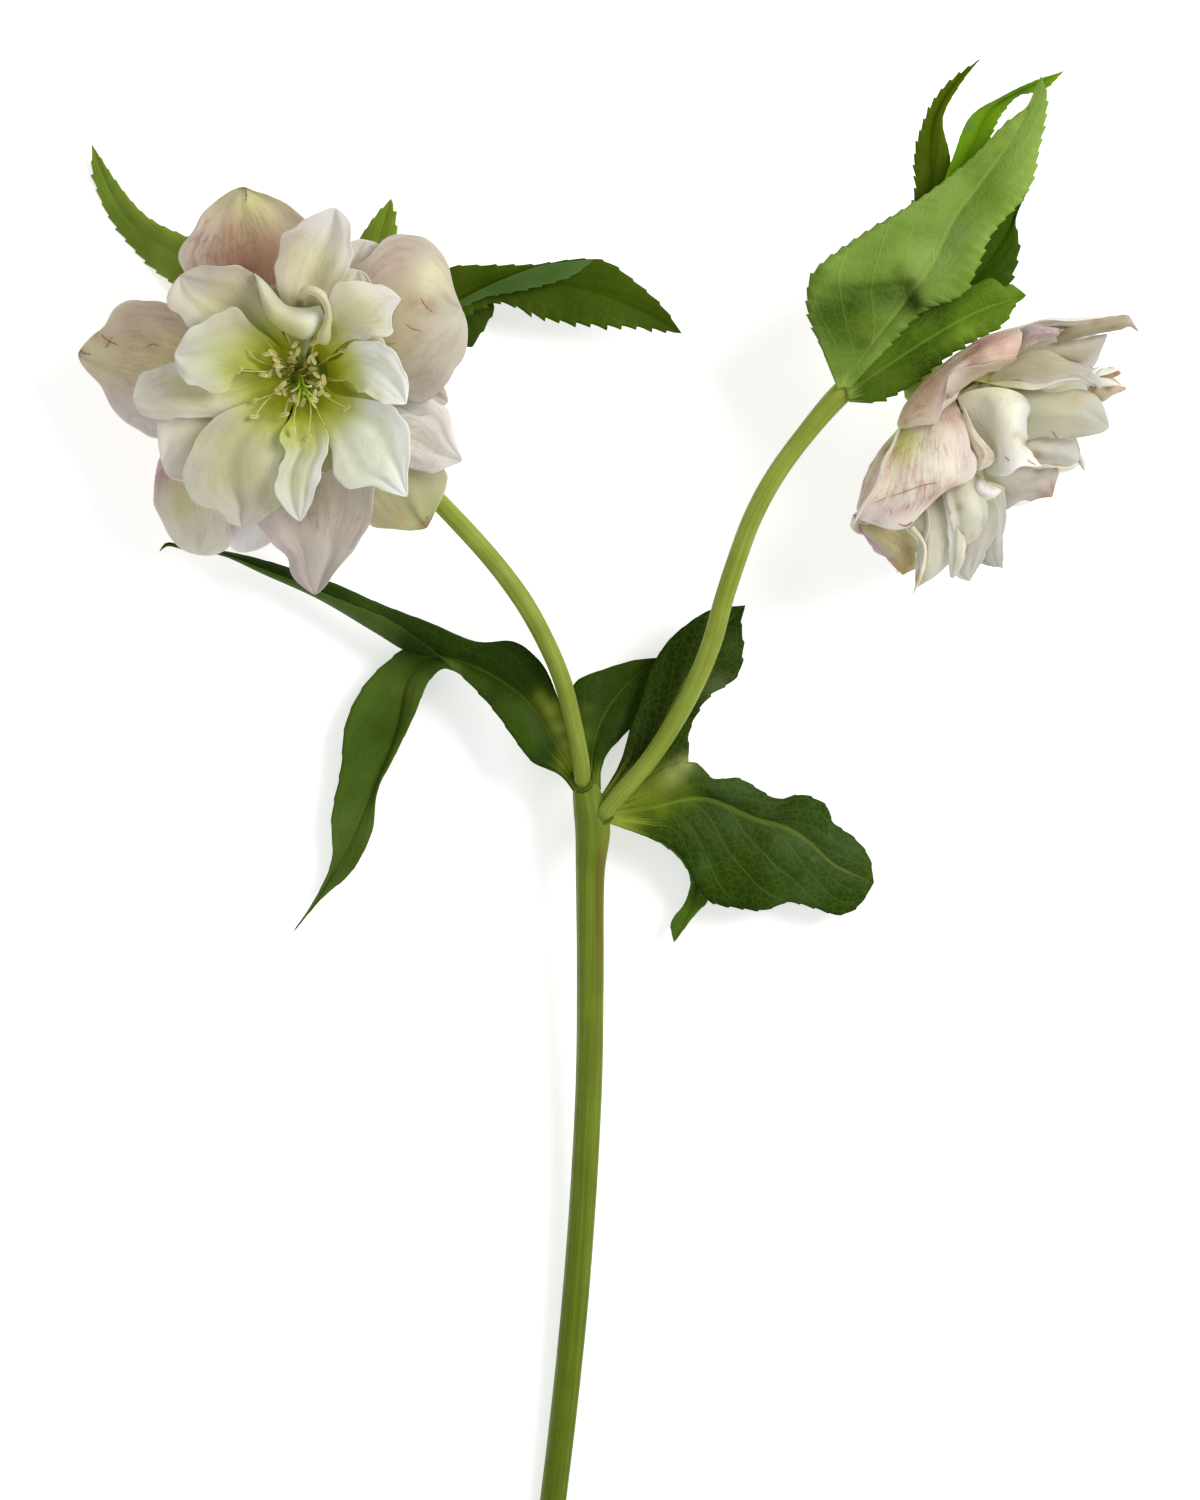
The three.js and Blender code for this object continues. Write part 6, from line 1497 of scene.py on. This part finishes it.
def add_scars(name, grids, scars):
    """Thin dry lines that lie on the topmost blade."""
    pieces = []
    for number, (spots, radius, tone) in enumerate(scars):
        plan = curve_through(spots, len(SCAR_RADII) - 1)
        line = [(*spot, surface_height(grids, spot) + SCAR_LIFT) for spot in plan]
        radii = radius * SCAR_RADII
        pieces.append(add_tube(f"{name}_{number}", line, radii, SCAR_SIDES, colour(tone), 0.3))
    return pieces


def add_stamen(name, bloom, foot, tip, rng, tone, size):
    """A thin curved filament, and a two-lobed anther that lies across its end."""
    at, axes = bloom_axes(bloom)
    reach = np.linalg.norm(tip[:2] - foot[:2])
    middle = (foot + tip) / 2 + np.array([0, 0, 0.8 + 0.12 * reach])
    middle[:2] += reach * 0.14 * np.array([rng.uniform(-1, 1), rng.uniform(-1, 1)])
    line = curve_through([foot, middle, tip], THREAD_RINGS)
    tint = blend(colour("a3ad2c"), colour("d6da8c"), np.linspace(0, 1, len(line)))
    radii = np.linspace(0.2, 0.13, len(line))
    thread = add_tube(f"{name}_thread", at + line @ axes.T, radii, THREAD_SIDES, tint, rng.random())
    turn = rng.uniform(0, math.tau)
    lie = unit(np.array([math.cos(turn), math.sin(turn), rng.uniform(-0.5, 0.1)]))
    share = np.linspace(-1, 1, ANTHER_RINGS)
    path = at + (line[-1] + np.outer(share, lie) * ANTHER_HALF_LENGTH * size) @ axes.T
    radii = ANTHER_RADIUS * size * np.sqrt(np.maximum(1 - np.abs(share) ** 3, 0.02))
    slit = smooth(0.75, 1.0, np.abs(np.sin(np.linspace(0, math.tau, ANTHER_SIDES + 1))))
    tint = blend(tone, colour("7d6e1c"), np.tile(0.6 * slit, (ANTHER_RINGS, 1)))
    head = add_tube(f"{name}_anther", path, radii, ANTHER_SIDES, tint, rng.random(), two_lobes)
    return [thread, head]


def local_spot(bloom, plan, height):
    """The place in a bloom's own frame that lies over a point of the plan, at a height on the axis."""
    at, axes = bloom_axes(bloom)
    x, y = np.linalg.inv(axes[:2, :2]) @ (np.array(plan) - at[:2] - height * axes[:2, 2])
    return np.array([x, y, height])


def grow_stamens(name, bloom, anthers, crowd, rng):
    """Stamens that lean out to the given anthers, and a crowd of them in the middle."""
    pieces = [add_button(f"{name}_disc", bloom, STAMEN_DISC, paint("petal_green"))]
    for number, spot in enumerate(anthers):
        out = spot[:2] / max(np.linalg.norm(spot[:2]), 0.1)
        foot = np.array([*(out * OUTER_FOOT), STAMEN_FOOT])
        tone = blend(paint("anther_yellow"), colour("dcd48c"), 0.6 * rng.random())
        size = rng.uniform(0.8, 1.05)
        pieces += add_stamen(f"{name}_outer_{number}", bloom, foot, spot, rng, tone, size)
    for number in range(crowd):
        share = (number + 0.5) / crowd
        angle = number * GOLDEN_ANGLE + rng.uniform(-0.3, 0.3)
        reach = 0.7 + 4.9 * share ** 0.6
        height = 12.4 - 1.8 * share + rng.uniform(-0.5, 0.5)
        way = np.array([math.cos(angle), math.sin(angle)])
        spot = np.array([*(reach * way), height])
        foot = np.array([*(INNER_FOOT * way), STAMEN_FOOT])
        tone = blend(colour("655c12"), paint("anther_yellow"), 0.9 * smooth(0.2, 0.6, share))
        size = 0.55 + 0.35 * smooth(0.1, 0.5, share)
        pieces += add_stamen(f"{name}_inner_{number}", bloom, foot, spot, rng, tone, size)
    return join(pieces, name)


def grow_carpels(name, bloom):
    """Carpels and their curved styles, pale at the tips."""
    at, axes = bloom_axes(bloom)
    pieces = [add_button(f"{name}_core", bloom, CARPEL_CORE, colour("6a701c"))]
    for number, (turn, reach) in enumerate(STYLES):
        out = reach * np.array([math.cos(math.radians(turn)), math.sin(math.radians(turn))])
        lean = np.array([0.25, -0.3])
        line = [(*(share * out + (height - 8) * lean), height) for share, height in STYLE_LINE]
        path = at + curve_through(line, STYLE_RINGS) @ axes.T
        tint = blend(colour("7d9020"), paint("style_green"), np.linspace(0, 1, len(path)))
        tint[-2:] = colour("c4d092")
        radii = np.interp(np.arange(len(path)), [0, 6, 12, STYLE_RINGS], [0.45, 0.24, 0.2, 0.24])
        pieces.append(add_tube(f"{name}_style_{number}", path, radii, STYLE_SIDES, tint))
    return join(pieces, name)


def finish_bloom(prefix, node, bloom, sepals, petals, anthers, crowd, rng):
    """Joins a bloom's blades, grows its heart, and finishes its four pieces."""
    sepal = kept("sepal", build_petal_material, "Sepals", paint("sepal_vein"))
    petal = kept("petal", build_petal_material, "Petals", paint("petal_vein"))
    heart = kept("anther", build_heart_material, "Stamens", 0.62)
    style = kept("style", build_heart_material, "Styles", 0.45)
    finish_piece(join(sepals, f"{prefix}_sepals"), sepal, f"{node}_sepals")
    finish_piece(join(petals, f"{prefix}_petals"), petal, f"{node}_petals")
    stamens = grow_stamens(f"{prefix}_stamens", bloom, anthers, crowd, rng)
    finish_piece(stamens, heart, f"{node}_stamens")
    carpels = grow_carpels(f"{prefix}_carpels", bloom)
    finish_piece(carpels, style, f"{node}_carpels")


def add_side_blades(name, outlines, tones, veins, tinted, scars, rng):
    """Blades of the side bloom through their drawn lines, with the dry lines on them."""
    blades, grids = [], []
    for number, (lines, tone, depth) in enumerate(zip(outlines, tones, veins)):
        grid = folded(ragged(grid_through(lines, *SIDE_CELLS), rng), rng)
        grids.append(grid)
        tint = dab(tinted(grid, tone), grid, SIDE_MARKS)
        blades.append(add_petal(f"{name}_{number}", grid, tint, rng, depth))
    return blades + add_scars(f"{name}_scar", grids, scars)


def add_back_blades(name, rows, feet, tones, tinted, rng):
    """Blades at the back of the side bloom, from a table of their forms."""
    blades = []
    for number, values in enumerate(rows):
        grid = formed_petal(values, feet[number % 2], SIDE_BLOOM, rng)
        blades.append(add_petal(f"{name}_{number}", grid, tinted(grid, tones), rng))
    return blades


# ---- the add-on ----

def picked(name, code, text):
    """A colour property with this hex colour as its default."""
    return bpy.props.FloatVectorProperty(
        name=name, description=text, subtype="COLOR", size=3, min=0, max=1,
        default=[float(part) for part in colour(code)])


def measured(name, metres, text):
    """A length property with this default."""
    return bpy.props.FloatProperty(name=name, description=text, default=metres, unit="LENGTH")


class HelleboreSizes(bpy.types.PropertyGroup):
    """Sizes that the blades are made to."""

    petal_thickness: measured("Petal thickness", 0.00026, "Thickness of petals and sepals")
    leaf_thickness: measured("Leaf thickness", 0.00036, "Thickness of the bracts")
    petal_folds: measured("Petal folds", 0.0005, "Height of the soft folds along a petal")
    petal_frill: measured("Petal frill", 0.0007, "Height of the ripple along a petal's rims")


class HelleboreColours(bpy.types.PropertyGroup):
    """Colours that whole parts share."""

    stem_green: picked("Stem green", "74862a", "Stem")
    receptacle: picked("Receptacle", "9aab45", "What the sepals grow on")
    petal_green: picked("Petal ring", "8b9a22", "What the petals and the stamens grow on")
    # painted lighter than the feet are, to lift the shade deep in the bloom
    lit_petal_foot: picked("Petal foot", "c4cc26", "Feet of the petals")
    petal_glow: picked("Petal glow", "c8cf74", "Where the green of the feet runs out")
    petal_vein: picked("Petal veins", "cfcdb0", "Fine veins of the petals")
    sepal_vein: picked("Sepal veins", "c88696", "Fine veins of the sepals")
    anther_yellow: picked("Anther yellow", "ece4a4", "Anthers")
    style_green: picked("Style green", "a9cc2a", "Styles")
    floor: picked("Floor", "f8f8f8", "The surface that the flower lies on")


def sizes():
    return bpy.context.scene.hellebore_sizes


def paint(name):
    """One of the shared colours."""
    return np.array(getattr(bpy.context.scene.hellebore_colours, name))


def add_area_light(name, at, energy, size, tone):
    """A soft square lamp that points at the flower."""
    bpy.ops.object.light_add(type="AREA", location=at)
    lamp = bpy.context.object
    lamp.name = name
    lamp.rotation_euler = (Vector(LIGHTS_AIM) - Vector(at)).to_track_quat("-Z", "Y").to_euler()
    lamp.data.energy = energy
    lamp.data.size = size
    lamp.data.color = tone


class HELLEBORE_OT_stage(bpy.types.Operator):
    """Sets up the camera that looks straight down, the pale floor and the soft light"""

    bl_idname = "hellebore.stage"
    bl_label = "Stage"

    def execute(self, context):
        scene = context.scene
        bpy.ops.object.camera_add(location=CAMERA_SPOT, rotation=(0, 0, 0))
        camera = context.object
        camera.name = "camera"
        camera.data.sensor_width = 36
        camera.data.lens = 600
        camera.data.clip_end = 20
        scene.camera = camera
        scene.view_settings.view_transform = "Standard"
        bpy.ops.mesh.primitive_plane_add(size=8)
        floor = context.object
        floor.name = "floor"
        floor.data.materials.append(build_floor_material())
        world = bpy.data.worlds.new("Pale room")
        world.use_nodes = True
        background = world.node_tree.nodes["Background"]
        background.inputs["Color"].default_value = (1, 1, 1, 1)
        background.inputs["Strength"].default_value = 0.5
        scene.world = world
        add_area_light("key", (0.7, 0.4, 0.85), 10.0, 0.55, (1.0, 0.99, 0.97))
        add_area_light("fill", (-0.6, -0.5, 1.0), 1.6, 1.2, (0.97, 0.98, 1.0))
        return {"FINISHED"}


class HELLEBORE_OT_stem(bpy.types.Operator):
    """Grows the stem and the two flower stalks"""

    bl_idname = "hellebore.stem"
    bl_label = "Stem"

    def execute(self, context):
        pieces = [add_stalk("main_stem", MAIN_STEM, 110, 40, stem_tint, 0.0),
                  add_stalk("left_stalk", LEFT_STALK, 90, 28, stalk_tint, 0.37),
                  add_stalk("right_stalk", RIGHT_STALK, 80, 28, stalk_tint, 0.74)]
        for number, stations in enumerate(SHADED_COLLARS):
            seam = curve_through(stations, 30)
            name = f"shaded_collar_{number}"
            # dark green seam: painted shadow under the stalk's foot
            pieces.append(add_tube(name, seam[:, :3], seam[:, 3], 12, colour("4d6410"), 0.9))
        material = kept("stem", build_stem_material)
        finish_piece(join(pieces, "stem_and_stalks"), material, "stem")
        return {"FINISHED"}


class HELLEBORE_OT_leaves(bpy.types.Operator):
    """Grows the toothed bracts at the fork and on the two stalks"""

    bl_idname = "hellebore.leaves"
    bl_label = "Bracts"

    def execute(self, context):
        grown = kept("grown leaf", build_leaf_material, "Grown leaf", 0.07, -1.0)
        young = kept("young leaf", build_leaf_material, "Young leaf", 0.1, 1.8)
        for name, node, lobes, foot, reach, veins in LEAVES:
            rng = random.Random(name)
            blades = []
            for number, lobe in enumerate(lobes):
                grid = leaf_grid(lobe, rng)
                tint = dab(leaf_tint(grid, lobe), grid, LEAF_MARKS_AND_PAINTED_LIGHT.get(name, ()))
                far = np.linalg.norm((grid - grid[0, LEAF_COLUMNS])[..., :2], axis=-1)
                extra = {"foot": colour(foot), "pale": 1 - np.clip(far / reach, 0, 1)}
                blades.append(add_blade(
                    f"{name}_{number}", grid, tint, sizes().leaf_thickness, rng.random(), veins, extra))
            leaf = join(blades, name)
            if name == "right_leaf_1":
                finish_piece(leaf, young, node)
            else:
                finish_piece(leaf, grown, node)
        return {"FINISHED"}


class HELLEBORE_OT_open_bloom(bpy.types.Operator):
    """Grows the bloom that lies open to the camera"""

    bl_idname = "hellebore.open_bloom"
    bl_label = "Open bloom"

    def execute(self, context):
        rng = random.Random(11)
        sepals = [add_button("open_receptacle", OPEN_BLOOM, RECEPTACLE, paint("receptacle"))]
        grids = []
        for number, (outline, tones, veins) in enumerate(
                zip(OPEN_SEPALS, OPEN_SEPAL_TONES, OPEN_SEPAL_VEINS)):
            grid = drawn_petal(outline, SEPAL_FEET[number % 2], rng)
            grids.append(grid)
            tint = dab(blade_tint(grid, tones), grid, OPEN_SEPAL_MARKS)
            tint = blend(colour("98a848"), tint, smooth(5, 13, from_axis(grid, OPEN_BLOOM)))
            sepals.append(add_petal(f"open_sepal_{number}", grid, tint, rng, veins))
        sepals += add_scars("open_sepal_scar", grids, OPEN_SCARS)
        petals = [add_button("open_ring", OPEN_BLOOM, PETAL_RING, paint("petal_green"))]
        sheets = [formed_petal(values, LINING_FOOT, OPEN_BLOOM, rng) for values in OPEN_LINING]
        sheets += [drawn_petal(outline, PETAL_FEET[number % 2], rng)
                   for number, outline in enumerate(OPEN_PETALS)]
        greens = [smooth(4.5, 19.5, from_axis(sheet, OPEN_BLOOM)) for sheet in sheets]
        sheets += [grid_through(lines, *SIDE_CELLS) for lines in OPEN_CURLS]
        greens += [0.94] * len(OPEN_CURLS)
        tones = [LINING_TONES] * len(OPEN_LINING) + OPEN_PETAL_TONES + CURL_TONES
        for number, (grid, tone, green) in enumerate(zip(sheets, tones, greens)):
            tint = dab(petal_tint(grid, tone, green), grid, OPEN_PETAL_MARKS)
            petals.append(add_petal(f"open_petal_{number}", grid, tint, rng))
        anthers = [local_spot(OPEN_BLOOM, spot, OPEN_ANTHER_HEIGHT + rng.uniform(-1.0, 1.4))
                   for spot in SPLAYED_ANTHERS]
        finish_bloom("open", "left_bloom", OPEN_BLOOM, sepals, petals, anthers, OPEN_CROWD, rng)
        return {"FINISHED"}


class HELLEBORE_OT_side_bloom(bpy.types.Operator):
    """Grows the bloom that is seen from its side"""

    bl_idname = "hellebore.side_bloom"
    bl_label = "Side bloom"

    def execute(self, context):
        rng = random.Random(23)
        sepals = [add_button("side_receptacle", SIDE_BLOOM, RECEPTACLE, paint("receptacle"))]
        sepals += add_back_blades("side_back_sepal", SIDE_BACK_SEPALS, SEPAL_FEET,
                                  BACK_SEPAL_TONES, blade_tint, rng)
        sepals += add_side_blades("side_sepal", SIDE_SEPALS, SIDE_SEPAL_TONES, SIDE_SEPAL_VEINS,
                                  blade_tint, SIDE_SEPAL_SCARS, rng)
        petals = [add_button("side_ring", SIDE_BLOOM, PETAL_RING, paint("petal_green"))]
        petals += add_back_blades("side_back_petal", SIDE_BACK_PETALS, PETAL_FEET,
                                  BACK_PETAL_TONES, back_petal_tint, rng)
        petals += add_side_blades("side_petal", SIDE_PETALS, SIDE_PETAL_TONES, [1.0] * len(SIDE_PETALS),
                                  side_petal_tint, SIDE_PETAL_SCARS, rng)
        ring = np.arange(SIDE_ANTHERS) * math.tau / SIDE_ANTHERS
        anthers = [np.array([SIDE_ANTHER_REACH * math.cos(a), SIDE_ANTHER_REACH * math.sin(a),
                             SIDE_ANTHER_HEIGHT]) for a in ring]
        finish_bloom("side", "right_bloom", SIDE_BLOOM, sepals, petals, anthers, SIDE_CROWD, rng)
        return {"FINISHED"}


class HELLEBORE_PT_sidebar(bpy.types.Panel):
    """Lists the steps that grow the flower"""

    bl_label = "Hellebore"
    bl_idname = "HELLEBORE_PT_sidebar"
    bl_space_type = "VIEW_3D"
    bl_region_type = "UI"
    bl_category = "Hellebore"

    def draw(self, context):
        for settings in (context.scene.hellebore_sizes, context.scene.hellebore_colours):
            for name in settings.__annotations__:
                self.layout.prop(settings, name)
        for operator in OPERATORS:
            self.layout.operator(operator.bl_idname)


OPERATORS = (HELLEBORE_OT_stage, HELLEBORE_OT_stem, HELLEBORE_OT_leaves,
             HELLEBORE_OT_open_bloom, HELLEBORE_OT_side_bloom)
CLASSES = (HelleboreSizes, HelleboreColours, *OPERATORS, HELLEBORE_PT_sidebar)


def register():
    for item in CLASSES:
        bpy.utils.register_class(item)
    bpy.types.Scene.hellebore_sizes = bpy.props.PointerProperty(type=HelleboreSizes)
    bpy.types.Scene.hellebore_colours = bpy.props.PointerProperty(type=HelleboreColours)


def unregister():
    del bpy.types.Scene.hellebore_sizes
    del bpy.types.Scene.hellebore_colours
    for item in reversed(CLASSES):
        bpy.utils.unregister_class(item)


def main():
    register()
    bpy.ops.hellebore.stage()
    bpy.ops.hellebore.stem()
    bpy.ops.hellebore.leaves()
    bpy.ops.hellebore.open_bloom()
    bpy.ops.hellebore.side_bloom()


if __name__ == "__main__":
    main()
